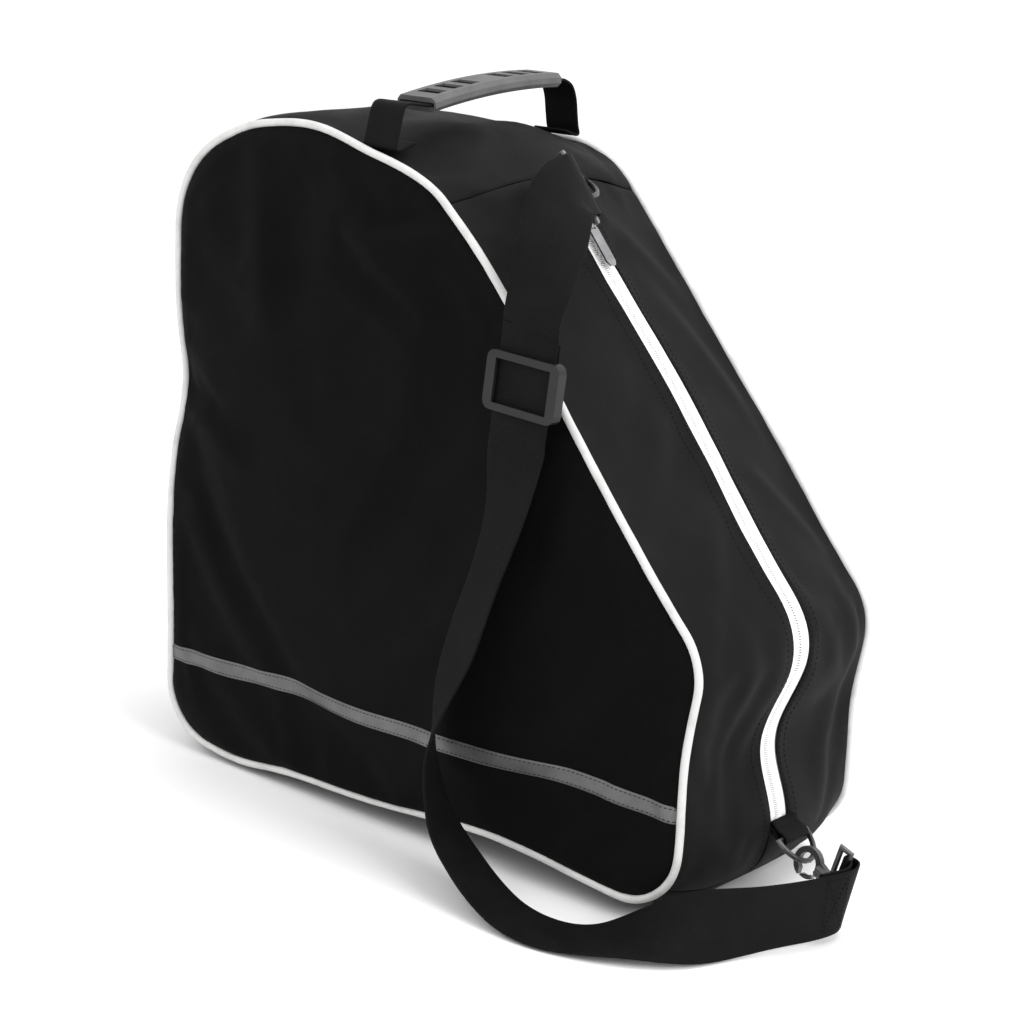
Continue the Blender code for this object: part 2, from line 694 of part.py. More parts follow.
def build_strap(upper_bar, lower_bar):
    glide_end = TRI_GLIDE_DIRECTION * TRI_GLIDE_STRAIGHT
    upper = frame_matrix(upper_bar, UPPER_HOOK_DIRECTION, UPPER_BAR_DIRECTION)
    lower = frame_matrix(lower_bar, -LOWER_HOOK_DIRECTION, LOWER_BAR_DIRECTION)
    upper_width = upper.to_3x3().col[1]
    lower_width = lower.to_3x3().col[1]
    keys = [
        (upper @ Vector((0, 0, FOLD / 2)), upper_width),
        (upper @ Vector((EYE_STRAIGHT, 0, FOLD / 2)), upper_width),
        *STRAP_ABOVE,
        (TRI_GLIDE_CENTRE - glide_end * 1.4, TRI_GLIDE_WIDTH),
        (TRI_GLIDE_CENTRE - glide_end, TRI_GLIDE_WIDTH),
        (TRI_GLIDE_CENTRE, TRI_GLIDE_WIDTH),
        (TRI_GLIDE_CENTRE + glide_end, TRI_GLIDE_WIDTH),
        (TRI_GLIDE_CENTRE + glide_end * 1.4, TRI_GLIDE_WIDTH),
        *STRAP_BELOW,
        (lower @ Vector((-EYE_STRAIGHT, 0, -FOLD / 2)), lower_width),
        (lower @ Vector((0, 0, -FOLD / 2)), lower_width),
    ]
    frames = ribbon_frames(smooth_route(keys, STRAP_STEP))
    lengths = [0.0]
    for before, after in zip(frames, frames[1:]):
        lengths.append(lengths[-1] + (after[0] - before[0]).length)
    total = lengths[-1]
    front = [(p, w, n) for p, _, w, n in frames]
    stop = (TRI_GLIDE_CENTRE - frames[0][0]).length - UPPER_RETURN_STOP
    upper_layer = []
    lower_layer = []
    for (point, _, width, normal), s in zip(frames, lengths):
        if s < stop:
            upper_layer.append((point - normal * layer_gap(s), width, -normal))
        if total - s < RETURN_LENGTH:
            lower_layer.append((point + normal * layer_gap(total - s), width, -normal))
    _, _, width, normal = frames[0]
    upper_turn = half_turn(upper_bar, facing_turn(width, -normal, -frames[0][1]), -normal * FOLD / 2, 6)
    _, _, end_width, end_normal = frames[-1]
    lower_turn = half_turn(lower_bar, facing_turn(end_width, -end_normal, frames[-1][1]), -end_normal * FOLD / 2, 6)
    upper_turn = [(p, width, n) for p, _, n in upper_turn]
    lower_turn = [(p, end_width, -n) for p, _, n in lower_turn]
    strip = [*reversed(upper_layer), *upper_turn, *front, *lower_turn, *reversed(lower_layer)]
    add_ribbon("strap_webbing", strip, STRAP_HALF, WEBBING, BLACK_WEBBING, 4)


def facing_turn(width, start, towards):
    """The sense of the width about which a half turn from start passes through towards."""
    quarter = Matrix.Rotation(math.pi / 2, 3, width) @ start
    return width if quarter.dot(towards) > 0 else -width


def layer_gap(distance):
    share = min(1, distance / FOLD_CLOSES)
    return FOLD + (LOOSE_LAYERS - FOLD) * share


def build_tri_glide():
    """Frame of the strap adjuster: the webbing runs straight under its end bars and over its middle bar."""
    place = frame_matrix(TRI_GLIDE_CENTRE, TRI_GLIDE_WIDTH, TRI_GLIDE_DIRECTION)
    front = -1 if place.to_3x3().col[2].y > 0 else 1
    w, h = TRI_GLIDE_HALF_WIDTH, TRI_GLIDE_HALF_LENGTH
    slab = rounded_outline(w, h, 0.005, 3)
    levels = sorted((front * -0.0034, front * 0.0034))
    rings = [[place @ Vector((x, y, z)) for x, y in slab] for z in levels]
    glide = add_loft("tri_glide", rings, DARK_PLASTIC)
    clear = WEBBING / 2 + GAP
    opening = STRAP_HALF + 2 * GAP
    window = opening - 0.0012
    deep = 0.006
    cuts = {
        "glide_channel": ((-opening, -2 * h, -clear), (opening, 2 * h, clear)),
        "glide_window": ((-window, -h + 0.0042, 0), (window, h - 0.0042, deep)),
        "glide_back_upper": ((-window, -2.2 * h, -deep), (window, -0.0026, 0)),
        "glide_back_lower": ((-window, 0.0026, -deep), (window, 2.2 * h, 0)),
    }
    for name, (low, high) in cuts.items():
        z_low, z_high = sorted((front * low[2], front * high[2]))
        cutter = box_object(name, (low[0], low[1], z_low), (high[0], high[1], z_high), DARK_PLASTIC, place)
        boolean(glide, cutter, "DIFFERENCE")
    build_bar_loop(place, front)


def rounded_outline(half_x, half_y, radius, steps):
    """A rectangle with round corners, anticlockwise."""
    points = []
    for corner in range(4):
        cx = (half_x - radius) * (1 if corner in (0, 3) else -1)
        cy = (half_y - radius) * (1 if corner < 2 else -1)
        for step in range(steps + 1):
            a = math.pi / 2 * (corner + step / steps)
            points.append((cx + radius * math.cos(a), cy + radius * math.sin(a)))
    return points


def build_bar_loop(place, front):
    """The end of the webbing, behind the strap and sewn round the tri-glide's middle bar."""
    back = -front
    layer = [
        (-0.026, 0.0034), (-0.014, 0.0034), (-0.006, 0.0040), (0.000, 0.0046), (0.0045, 0.0046),
    ]
    rings = []
    for y, depth in layer:
        ring = []
        for x, rise in ((-1, 0), (1, 0), (1, WEBBING), (-1, WEBBING)):
            ring.append(place @ Vector((x * (STRAP_HALF - 0.0006), y, back * (depth + rise - 0.0008))))
        rings.append(ring)
    add_loft("strap_bar_loop", rings, BLACK_WEBBING)


def build_strap_hardware():
    crown_top = slope_frame(0) @ Vector((0, 0, TAB_RISE))
    upper_bar = build_tab("ring_tab_upper", crown_top, UPPER_RING_DIRECTION)
    catch = build_ring("d_ring_upper", upper_bar, UPPER_RING_DIRECTION, UPPER_HOOK_DIRECTION)
    upper_eye = build_hook("upper", catch, UPPER_HOOK_DIRECTION, UPPER_BAR_DIRECTION)
    toe = station(TOE_SEAM + ARC_STEPS // 2)
    crown_toe = Vector((toe.x + CROWN, 0, toe.y))
    lower_bar = build_tab("ring_tab_lower", crown_toe, LOWER_RING_DIRECTION)
    catch = build_ring("d_ring_lower", lower_bar, LOWER_RING_DIRECTION, LOWER_HOOK_DIRECTION)
    lower_eye = build_hook("lower", catch, LOWER_HOOK_DIRECTION, LOWER_BAR_DIRECTION)
    build_strap(upper_eye, lower_eye)
    build_tri_glide()


def main():
    clear_scene()
    build_side("right", -1)
    build_side("left", 1)
    build_gusset()
    build_slider_and_pull()
    build_handle()
    build_strap_hardware()


main()
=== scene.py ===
"""Looks for the skate bag: sewn fabric, piping, zip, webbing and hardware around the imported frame."""

import json
import math

import bmesh
import bpy
import numpy as np
from mathutils import Matrix, Vector, noise
from mathutils.bvhtree import BVHTree
from mathutils.geometry import delaunay_2d_cdt


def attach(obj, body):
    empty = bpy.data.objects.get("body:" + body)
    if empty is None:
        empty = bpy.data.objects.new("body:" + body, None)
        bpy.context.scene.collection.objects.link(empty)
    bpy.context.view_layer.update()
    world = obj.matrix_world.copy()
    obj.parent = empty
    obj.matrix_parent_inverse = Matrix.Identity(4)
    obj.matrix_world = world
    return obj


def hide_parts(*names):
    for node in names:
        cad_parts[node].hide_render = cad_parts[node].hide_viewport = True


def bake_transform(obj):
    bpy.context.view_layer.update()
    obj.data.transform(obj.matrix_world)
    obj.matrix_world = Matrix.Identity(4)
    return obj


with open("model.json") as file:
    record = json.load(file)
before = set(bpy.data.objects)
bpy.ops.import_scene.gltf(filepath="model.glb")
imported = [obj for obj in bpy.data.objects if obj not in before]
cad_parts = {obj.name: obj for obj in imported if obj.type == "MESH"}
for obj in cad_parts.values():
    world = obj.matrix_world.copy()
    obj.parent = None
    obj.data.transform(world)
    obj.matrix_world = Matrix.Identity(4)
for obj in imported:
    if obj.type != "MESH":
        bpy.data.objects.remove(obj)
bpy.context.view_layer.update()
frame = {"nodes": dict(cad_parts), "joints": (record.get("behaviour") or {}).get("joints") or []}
NODES = frame["nodes"]

# Outline of the bag, as in the CAD: corners (x, z, radius) of the middle of the piping, anticlockwise.
CORNERS = (
    (-0.187, 0.011, 0.034),
    (0.203, 0.011, 0.036),
    (0.203, 0.155, 0.050),
    (-0.013, 0.402, 0.070),
    (-0.206, 0.402, 0.070),
)
HALF = 0.090  # from the bag's middle plane to the middle of its piping
CROWN = 0.011  # how far the gusset's middle stands out beyond its edges
BASE_FLAT = 0.6  # share of the base's width that is flat
PIPING_R = 0.0023
CORNER_STEPS = 24
PANEL_OUT = 0.0015  # outer face of a side panel beyond the middle of the piping
GRID = 0.0062
ZIP_HALF = 0.0080

TAPE_Z = 0.066
TAPE_WIDTH = 0.0100
SIDES = ((-1, "right"), (1, "left"))

# ---------------------------------------------------------------- outline


def make_outline():
    """The closed outline's points, the distance of each, its whole length, and where its corners are."""
    points = []
    marks = {}
    count = len(CORNERS)
    for i, (x, z, radius) in enumerate(CORNERS):
        corner = np.array((x, z))
        before = np.array(CORNERS[i - 1][:2]) - corner
        after = np.array(CORNERS[(i + 1) % count][:2]) - corner
        before /= np.linalg.norm(before)
        after /= np.linalg.norm(after)
        half = math.acos(np.clip(before @ after, -1, 1)) / 2
        middle = before + after
        centre = corner + middle / np.linalg.norm(middle) * radius / math.sin(half)
        start = corner + before * radius / math.tan(half) - centre
        turn = math.pi - 2 * half
        marks[(i, "start")] = len(points)
        marks[(i, "middle")] = len(points) + CORNER_STEPS // 2
        marks[(i, "end")] = len(points) + CORNER_STEPS
        for step in range(CORNER_STEPS + 1):
            a = turn * step / CORNER_STEPS
            rotate = np.array(((math.cos(a), -math.sin(a)), (math.sin(a), math.cos(a))))
            points.append(centre + rotate @ start)
    points = np.array(points)
    closed = np.vstack((points, points[:1]))
    lengths = np.concatenate(((0,), np.cumsum(np.linalg.norm(np.diff(closed, axis=0), axis=1))))
    total = lengths[-1]
    where = {name: lengths[index] for name, index in marks.items()}
    return closed, lengths, total, where


OUTLINE, LENGTHS, PERIMETER, MARKS = make_outline()
HEEL_SEAM = MARKS[(0, "middle")]
TOE_SEAM = MARKS[(1, "middle")]
TOP_SEAM = MARKS[(3, "start")]
SLOPE_FOOT = MARKS[(2, "end")]


def at_length(s):
    """Points and outward normals of the outline at these distances round it."""
    s = np.mod(np.asarray(s, float), PERIMETER)
    point = np.stack([np.interp(s, LENGTHS, OUTLINE[:, k]) for k in (0, 1)], axis=-1)
    step = 0.002
    ahead = np.mod(s + step, PERIMETER)
    back = np.mod(s - step, PERIMETER)
    run = np.stack(
        [np.interp(ahead, LENGTHS, OUTLINE[:, k]) - np.interp(back, LENGTHS, OUTLINE[:, k]) for k in (0, 1)],
        axis=-1,
    )
    run /= np.linalg.norm(run, axis=-1, keepdims=True)
    normal = np.stack((run[..., 1], -run[..., 0]), axis=-1)
    return point, normal


def bump(value, centre, width):
    return np.exp(-(((value - centre) / width) ** 2))


def smooth_step(value, low, high):
    t = np.clip((value - low) / (high - low), 0, 1)
    return t * t * (3 - 2 * t)


def sag(p):
    """How the soft bag slumps: the dent in its back, the wave in its bottom edges, the hollow toe."""
    x, y, z = p[:, 0], p[:, 1], p[:, 2]
    edge = smooth_step(np.abs(y), 0.045, 0.088)
    back = smooth_step(-x, 0.15, 0.20)
    toe = smooth_step(x, 0.16, 0.20)
    low = 1 - smooth_step(z, 0.02, 0.07)
    top = smooth_step(z, 0.34, 0.40) * smooth_step(-x, -0.03, 0.03)
    dx = 0.0085 * bump(z, 0.236, 0.034) * back * (0.45 + 0.55 * edge)
    dx = dx - 0.0030 * bump(z, 0.140, 0.050) * back
    dx = dx - 0.0100 * bump(z, 0.096, 0.030) * toe * (1 - 0.75 * edge)
    dx = dx + 0.0020 * bump(z, 0.155, 0.028) * toe
    dz = 0.0085 * bump(x, 0.075, 0.075) * low * edge
    dz = dz - 0.0050 * bump(x, -0.128, 0.035) * low * edge
    dz = dz - 0.0050 * bump(x, -0.165, 0.040) * top
    dz = dz + 0.0020 * bump(x, -0.095, 0.035) * top
    near = smooth_step(-y, 0.015, 0.085) * smooth_step(z, 0.29, 0.385)
    dz = dz - 0.0130 * bump(x, -0.026, 0.048) * near
    dz = dz - 0.0030 * bump(x, 0.000, 0.060) * smooth_step(y, 0.03, 0.085) * smooth_step(z, 0.30, 0.39)
    middle = 1 - smooth_step(np.abs(y), 0.030, 0.080)
    dy = 0.0020 * np.sin(x * 23 + 1.0) * np.sin(z * 17) * edge * np.sign(y)
    dy = dy + 0.0050 * bump(z, 0.275, 0.050) * smooth_step(x, 0.02, 0.06) * middle
    dy = dy - 0.0090 * bump(z, 0.092, 0.036) * smooth_step(x, 0.14, 0.19) * middle
    return p + np.stack((dx, dy, dz), axis=1)


def soft_noise(points, scale, seed):
    """Smooth noise from -1 to 1 at each point."""
    offset = Vector((seed * 7.31, seed * 3.17, seed * 5.73))
    return np.array([noise.noise(Vector(p) * scale + offset) for p in points])


def crease(u, v, start, end, width, height, skew=0.35):
    """A soft fold along a segment, steeper on one side, fading towards its ends."""
    a = np.array(start, float)
    b = np.array(end, float)
    run = b - a
    length = np.linalg.norm(run)
    run /= length
    along = ((u - a[0]) * run[0] + (v - a[1]) * run[1]) / length
    across = (u - a[0]) * -run[1] + (v - a[1]) * run[0]
    bent = across - 0.12 * length * np.sin(np.clip(along, 0, 1) * math.pi) * skew
    fade = smooth_step(along, -0.15, 0.30) * (1 - smooth_step(along, 0.65, 1.20))
    ridge = bump(bent, 0, width) - 0.55 * bump(bent, width * 1.7, width * 1.1)
    return height * fade * ridge


# ---------------------------------------------------------------- meshes


def new_mesh(name, points, faces, smooth=True):
    mesh = bpy.data.meshes.new(name)
    mesh.from_pydata([tuple(p) for p in points], [], [tuple(f) for f in faces])
    mesh.update()
    if smooth:
        mesh.shade_smooth()
    obj = bpy.data.objects.new(name, mesh)
    bpy.context.scene.collection.objects.link(obj)
    return obj


def set_uv(obj, uv):
    """One pair of metres per vertex, for weaves that follow the cloth."""
    layer = obj.data.uv_layers.new(name="cloth")
    index = np.zeros(len(obj.data.loops), np.int32)
    obj.data.loops.foreach_get("vertex_index", index)
    layer.data.foreach_set("uv", np.asarray(uv, np.float32)[index].ravel())


def get_points(obj):
    points = np.zeros(len(obj.data.vertices) * 3)
    obj.data.vertices.foreach_get("co", points)
    return points.reshape(-1, 3)


def set_points(obj, points):
    obj.data.vertices.foreach_set("co", points.astype(np.float32).ravel())
    obj.data.update()


def apply_modifiers(obj):
    bpy.context.view_layer.update()
    graph = bpy.context.evaluated_depsgraph_get()
    made = bpy.data.meshes.new_from_object(
        obj.evaluated_get(graph), preserve_all_data_layers=True, depsgraph=graph
    )
    old = obj.data
    obj.modifiers.clear()
    obj.data = made
    bpy.data.meshes.remove(old)


def grid_faces(rows, columns, closed=False):
    faces = []
    for i in range(rows - 1):
        for j in range(columns if closed else columns - 1):
            k = (j + 1) % columns
            faces.append((i * columns + j, i * columns + k, (i + 1) * columns + k, (i + 1) * columns + j))
    return faces


def run_lengths(points):
    """Distance of each point along its line."""
    return np.concatenate(((0,), np.cumsum(np.linalg.norm(np.diff(points, axis=0), axis=1))))


def uv_grid(along, across):
    return np.stack(np.meshgrid(along, across, indexing="ij"), axis=-1).reshape(-1, 2)


def recalculate_normals(obj):
    made = bmesh.new()
    made.from_mesh(obj.data)
    bmesh.ops.recalc_face_normals(made, faces=made.faces)
    made.to_mesh(obj.data)
    made.free()
    obj.data.shade_smooth()


def closed_cord(name, path, radius, sides=12):
    """A round cord along a closed path, with parallel frames."""
    tangents = np.roll(path, -1, axis=0) - np.roll(path, 1, axis=0)
    tangents /= np.linalg.norm(tangents, axis=1, keepdims=True)
    first = np.cross(tangents[0], (0.3, 0.5, 0.8))
    normals = [first / np.linalg.norm(first)]
    for t in tangents[1:]:
        n = normals[-1] - normals[-1] @ t * t
        normals.append(n / np.linalg.norm(n))
    normals = np.array(normals)
    sides_to = np.cross(tangents, normals)
    angles = np.linspace(0, math.tau, sides, endpoint=False)
    rings = (
        path[:, None]
        + normals[:, None] * np.cos(angles)[None, :, None] * radius[:, None, None]
        + sides_to[:, None] * np.sin(angles)[None, :, None] * radius[:, None, None]
    )
    faces = grid_faces(len(path), sides, closed=True)
    last = (len(path) - 1) * sides
    for j in range(sides):
        k = (j + 1) % sides
        faces.append((last + j, last + k, k, j))
    obj = new_mesh(name, rings.reshape(-1, 3), faces)
    set_uv(obj, uv_grid(run_lengths(path), angles * radius.mean()))
    return obj


def add_bead(points, faces, centres, radii, up, across, tall=1.0):
    """Adds a short closed bead with a six-sided ring about each centre."""
    sides = 6
    first = len(points)
    for centre, radius in zip(centres, radii):
        for j in range(sides):
            a = math.tau * j / sides
            points.append(centre + up * radius * tall * math.sin(a) + across * radius * math.cos(a))
    for k in range(len(centres) - 1):
        for j in range(sides):
            m = (j + 1) % sides
            a = first + k * sides
            faces.append((a + j, a + m, a + sides + m, a + sides + j))
    faces.append(tuple(range(first, first + sides))[::-1])
    faces.append(tuple(range(len(points) - sides, len(points))))


STITCH_LIFT = np.array((-0.9, 0.35, 0.6, 0.35, -0.9))
STITCH_THICKNESS = np.array((0.35, 0.9, 1.0, 0.9, 0.35))


def stitches(name, lines, pitch, length, radius, uv_axes):
    """Sewn stitches along each (points, normals) line, every one a short bent bead sunk in the cloth."""
    points = []
    faces = []
    for line, normals in lines:
        run = run_lengths(line)
        count = max(1, int(run[-1] / pitch))
        for i in range(count):
            middle = run[-1] * (i + 0.5) / count
            spots = middle + np.linspace(-0.5, 0.5, 5) * length
            centre = np.stack([np.interp(spots, run, line[:, k]) for k in range(3)], axis=1)
            normal = np.array([np.interp(middle, run, normals[:, k]) for k in range(3)])
            normal /= np.linalg.norm(normal)
            along = centre[-1] - centre[0]
            along /= max(np.linalg.norm(along), 1e-9)
            raised = centre + normal * (STITCH_LIFT * radius)[:, None]
            add_bead(points, faces, raised, STITCH_THICKNESS * radius, normal, np.cross(along, normal))
    obj = new_mesh(name, points, faces)
    set_uv(obj, get_points(obj)[:, uv_axes])
    return obj


DRAPE_FRAMES = 18
DRAPE_GRAVITY = 0.15
DAMPING = 12


def drape(obj, pinned, grow, pressure, bending, cap):
    """Lets the cloth settle: it is cut a little large, held at its seams, and pushed out from inside."""
    start = get_points(obj)
    group = obj.vertex_groups.new(name="sewn")
    group.add([int(i) for i in pinned], 1.0, "REPLACE")
    cloth = obj.modifiers.new("drape", "CLOTH")
    settings = cloth.settings
    settings.quality = 6
    settings.mass = 0.25
    settings.tension_stiffness = 25
    settings.compression_stiffness = 25
    settings.shear_stiffness = 12
    settings.bending_stiffness = bending
    settings.tension_damping = DAMPING
    settings.compression_damping = DAMPING
    settings.shear_damping = DAMPING
    settings.air_damping = 3
    settings.vertex_group_mass = "sewn"
    settings.shrink_min = -grow
    settings.use_pressure = True
    settings.uniform_pressure_force = pressure
    settings.effector_weights.gravity = DRAPE_GRAVITY
    cloth.point_cache.frame_start = 1
    cloth.point_cache.frame_end = DRAPE_FRAMES
    scene = bpy.context.scene
    for number in range(1, DRAPE_FRAMES + 1):
        scene.frame_set(number)
    graph = bpy.context.evaluated_depsgraph_get()
    shown = obj.evaluated_get(graph).to_mesh()
    after = np.zeros(len(shown.vertices) * 3)
    shown.vertices.foreach_get("co", after)
    after = after.reshape(-1, 3)
    obj.evaluated_get(graph).to_mesh_clear()
    obj.modifiers.remove(cloth)
    obj.vertex_groups.clear()
    scene.frame_set(1)
    moved = after - start
    size = np.linalg.norm(moved, axis=1, keepdims=True)
    moved *= np.minimum(1, cap / np.maximum(size, 1e-9))
    set_points(obj, start + moved)


def thicken(obj, thickness):
    """Gives a sheet its thickness, inwards, and one subdivision."""
    shell = obj.modifiers.new("thickness", "SOLIDIFY")
    shell.thickness = thickness
    shell.offset = -1
    shell.use_even_offset = False
    smooth = obj.modifiers.new("smooth", "SUBSURF")
    smooth.levels = 1
    smooth.render_levels = 1
    apply_modifiers(obj)


# ---------------------------------------------------------------- materials


class Shader:
    """Short names for building one node material."""

    def __init__(self, name):
        self.material = bpy.data.materials.new(name)
        self.material.use_nodes = True
        self.tree = self.material.node_tree
        self.out = self.tree.nodes["Principled BSDF"]

    def node(self, kind, **values):
        made = self.tree.nodes.new(kind)
        for key, value in values.items():
            if hasattr(made, key):
                setattr(made, key, value)
            else:
                made.inputs[key].default_value = value
        return made

    def link(self, source, target):
        self.tree.links.new(source, target)

    def put(self, name, value):
        self.out.inputs[name].default_value = value

    def math(self, operation, a, b=None):
        made = self.node("ShaderNodeMath", operation=operation)
        for socket, value in zip(made.inputs, (a, b)):
            if value is None:
                continue
            if isinstance(value, (int, float)):
                socket.default_value = value
            else:
                self.link(value, socket)
        return made.outputs[0]

    def ramp(self, source, *stops):
        made = self.node("ShaderNodeValToRGB")
        made.color_ramp.elements[0].position = stops[0][0]
        made.color_ramp.elements[0].color = stops[0][1]
        made.color_ramp.elements[1].position = stops[-1][0]
        made.color_ramp.elements[1].color = stops[-1][1]
        for position, colour in stops[1:-1]:
            made.color_ramp.elements.new(position).color = colour
        self.link(source, made.inputs[0])
        return made.outputs[0]

    def noise(self, vector, scale, detail, rough):
        made = self.node("ShaderNodeTexNoise", Scale=scale, Detail=detail, Roughness=rough)
        self.link(vector, made.inputs["Vector"])
        return made.outputs["Fac"]

    def multiply(self, a, b):
        made = self.node("ShaderNodeMix", data_type="RGBA")
        made.blend_type = "MULTIPLY"
        made.inputs["Factor"].default_value = 1.0
        self.link(a, made.inputs["A"])
        self.link(b, made.inputs["B"])
        return made.outputs["Result"]

    def roughness(self, source, smoothest, roughest):
        made = self.node("ShaderNodeMapRange")
        made.inputs["To Min"].default_value = smoothest
        made.inputs["To Max"].default_value = roughest
        self.link(source, made.inputs["Value"])
        self.link(made.outputs[0], self.out.inputs["Roughness"])

    def stretched(self, vector, scale):
        made = self.node("ShaderNodeMapping")
        made.inputs["Scale"].default_value = scale
        self.link(vector, made.inputs["Vector"])
        return made.outputs[0]

    def place(self):
        return self.node("ShaderNodeTexCoord").outputs["Object"]

    def cloth_uv(self):
        made = self.node("ShaderNodeUVMap")
        made.uv_map = "cloth"
        return made.outputs[0]

    def bump_chain(self, layers):
        """Bumps stacked as (height, distance) pairs."""
        previous = None
        for height, distance in layers:
            made = self.node("ShaderNodeBump")
            made.inputs["Distance"].default_value = distance
            made.inputs["Strength"].default_value = 1.0
            self.link(height, made.inputs["Height"])
            if previous is not None:
                self.link(previous, made.inputs["Normal"])
            previous = made.outputs[0]
        self.link(previous, self.out.inputs["Normal"])


def grey(value):
    return (value, value, value, 1)


def scaled(colour, share):
    return tuple(c * share for c in colour[:3]) + (1,)


def weave_height(s, uv, pitch):
    """Height of a plain weave with this thread pitch."""
    split = s.node("ShaderNodeSeparateXYZ")
    s.link(uv, split.inputs[0])
    turn = math.tau / (2 * pitch)
    u = s.math("MULTIPLY", split.outputs[0], turn)
    v = s.math("MULTIPLY", split.outputs[1], turn)
    warp = s.math("SINE", u)
    weft = s.math("SINE", v)
    checker = s.math("MULTIPLY", warp, weft)
    over = s.math("ABSOLUTE", warp)
    under = s.math("ABSOLUTE", weft)
    ribs = s.math("ADD", s.math("MULTIPLY", over, 0.5), s.math("MULTIPLY", under, 0.5))
    return s.math("ADD", s.math("MULTIPLY", checker, 0.35), ribs)


def fabric(
    name, base, pitch=0.00055, depth=0.00012, mottling=0.5, rough=(0.55, 0.80), sheen=0.01, lint=0.12,
    shine=0.04,
):
    """Woven polyester: thread bump, soft blotches, a little lint and worn sheen, with painted shade in the
    weave's hollows and painted highlight on its crowns.
    """
    s = Shader(name)
    uv = s.cloth_uv()
    place = s.place()
    weave = weave_height(s, uv, pitch)
    slub = s.noise(uv, 900, 2, 0.6)
    blotch = s.noise(place, 14, 4, 0.55)
    dust = s.noise(place, 260, 2, 0.7)
    low = scaled(base, 1 - 0.35 * mottling)
    high = scaled(base, 1 + 0.55 * mottling)
    colour = s.ramp(blotch, (0.30, low), (0.72, high))
    dusty = s.ramp(dust, (0.62, grey(0)), (0.80, grey(1)))
    mix = s.node("ShaderNodeMix", data_type="RGBA")
    mix.blend_type = "ADD"
    s.link(s.math("MULTIPLY", dusty, 0.02 * lint), mix.inputs["Factor"])
    s.link(colour, mix.inputs["A"])
    mix.inputs["B"].default_value = grey(0.5)
    # Painted shade and highlight: the colour is darkened where the weave lies low and lightened where it
    # stands high.
    thread_relief = s.ramp(weave, (0.15, grey(0.62)), (0.95, grey(1.18)))
    s.link(s.multiply(mix.outputs["Result"], thread_relief), s.out.inputs["Base Color"])
    s.roughness(s.noise(place, 30, 3, 0.6), *rough)
    s.put("Specular IOR Level", shine)
    s.put("Sheen Weight", sheen)
    s.put("Sheen Roughness", 0.40)
    s.bump_chain(((blotch, 0.0012), (slub, depth * 0.8), (weave, depth)))
    return s.material


def webbing(name, base, rib=0.0013, across=0.0009, depth=0.00022, sheen=0.005):
    """Ribbed strap webbing: herringbone ribs across the cloth's width, with woven edges, and painted shade in
    the ribs' hollows with painted highlight on their crowns.
    """
    s = Shader(name)
    uv = s.cloth_uv()
    place = s.place()
    split = s.node("ShaderNodeSeparateXYZ")
    s.link(uv, split.inputs[0])
    zigzag = s.math("PINGPONG", split.outputs[1], 0.0024)
    slanted = s.math("ADD", split.outputs[0], s.math("MULTIPLY", zigzag, 0.5))
    ribs = s.math("ABSOLUTE", s.math("SINE", s.math("MULTIPLY", slanted, math.pi / rib)))
    thread_relief = s.math("ABSOLUTE", s.math("SINE", s.math("MULTIPLY", split.outputs[1], math.pi / across)))
    height = s.math("ADD", s.math("MULTIPLY", ribs, 0.7), s.math("MULTIPLY", thread_relief, 0.45))
    blotch = s.noise(place, 45, 3, 0.6)
    colour = s.ramp(blotch, (0.3, scaled(base, 0.75)), (0.7, scaled(base, 1.35)))
    # Painted shade and highlight: the colour is darkened where the ribs lie low and lightened where they
    # stand high.
    shade = s.ramp(height, (0.10, grey(0.5)), (1.0, grey(1.25)))
    s.link(s.multiply(colour, shade), s.out.inputs["Base Color"])
    s.roughness(blotch, 0.5, 0.75)
    s.put("Specular IOR Level", 0.06)
    s.put("Sheen Weight", sheen)
    s.put("Sheen Roughness", 0.4)
    s.bump_chain(((s.noise(uv, 1400, 2, 0.6), depth * 0.5), (height, depth)))
    return s.material


def plastic(name, base, rough, grain, scale, scuffs):
    """Moulded plastic or rubber: fine grain, uneven gloss and scuffed edges."""
    s = Shader(name)
    place = s.place()
    blotch = s.noise(place, 60, 4, 0.6)
    scuff = s.noise(place, 420, 5, 0.75)
    low = scaled(base, 0.85)
    high = scaled(base, 1.1 + 0.3 * scuffs)
    mixed = s.math("ADD", s.math("MULTIPLY", blotch, 0.7), s.math("MULTIPLY", scuff, 0.3))
    s.link(s.ramp(mixed, (0.35, low), (0.68, high)), s.out.inputs["Base Color"])
    s.roughness(scuff, *rough)
    s.put("Specular IOR Level", 0.3)
    s.bump_chain(((s.noise(place, scale, 3, 0.6), grain), (scuff, grain * 2)))
    return s.material


def metal(name, base, rough, metallic, wear=None):
    """Cast and plated metal: fine scratches, smudged gloss, and brighter metal where it rubs."""
    s = Shader(name)
    place = s.place()
    scratch = s.noise(s.stretched(place, (1, 9, 1)), 700, 5, 0.7)
    smudge = s.noise(place, 120, 3, 0.6)
    colour = s.ramp(smudge, (0.3, scaled(base, 0.8)), (0.7, scaled(base, 1.25)))
    if wear:
        mix = s.node("ShaderNodeMix", data_type="RGBA")
        geometry = s.node("ShaderNodeNewGeometry")
        edge = s.ramp(geometry.outputs["Pointiness"], (0.53, grey(0)), (0.62, grey(1)))
        s.link(s.math("MULTIPLY", edge, scratch), mix.inputs["Factor"])
        s.link(colour, mix.inputs["A"])
        mix.inputs["B"].default_value = wear
        colour = mix.outputs["Result"]
    s.link(colour, s.out.inputs["Base Color"])
    s.roughness(scratch, *rough)
    s.put("Metallic", metallic)
    s.bump_chain(((scratch, 0.00003), (smudge, 0.00008)))
    return s.material


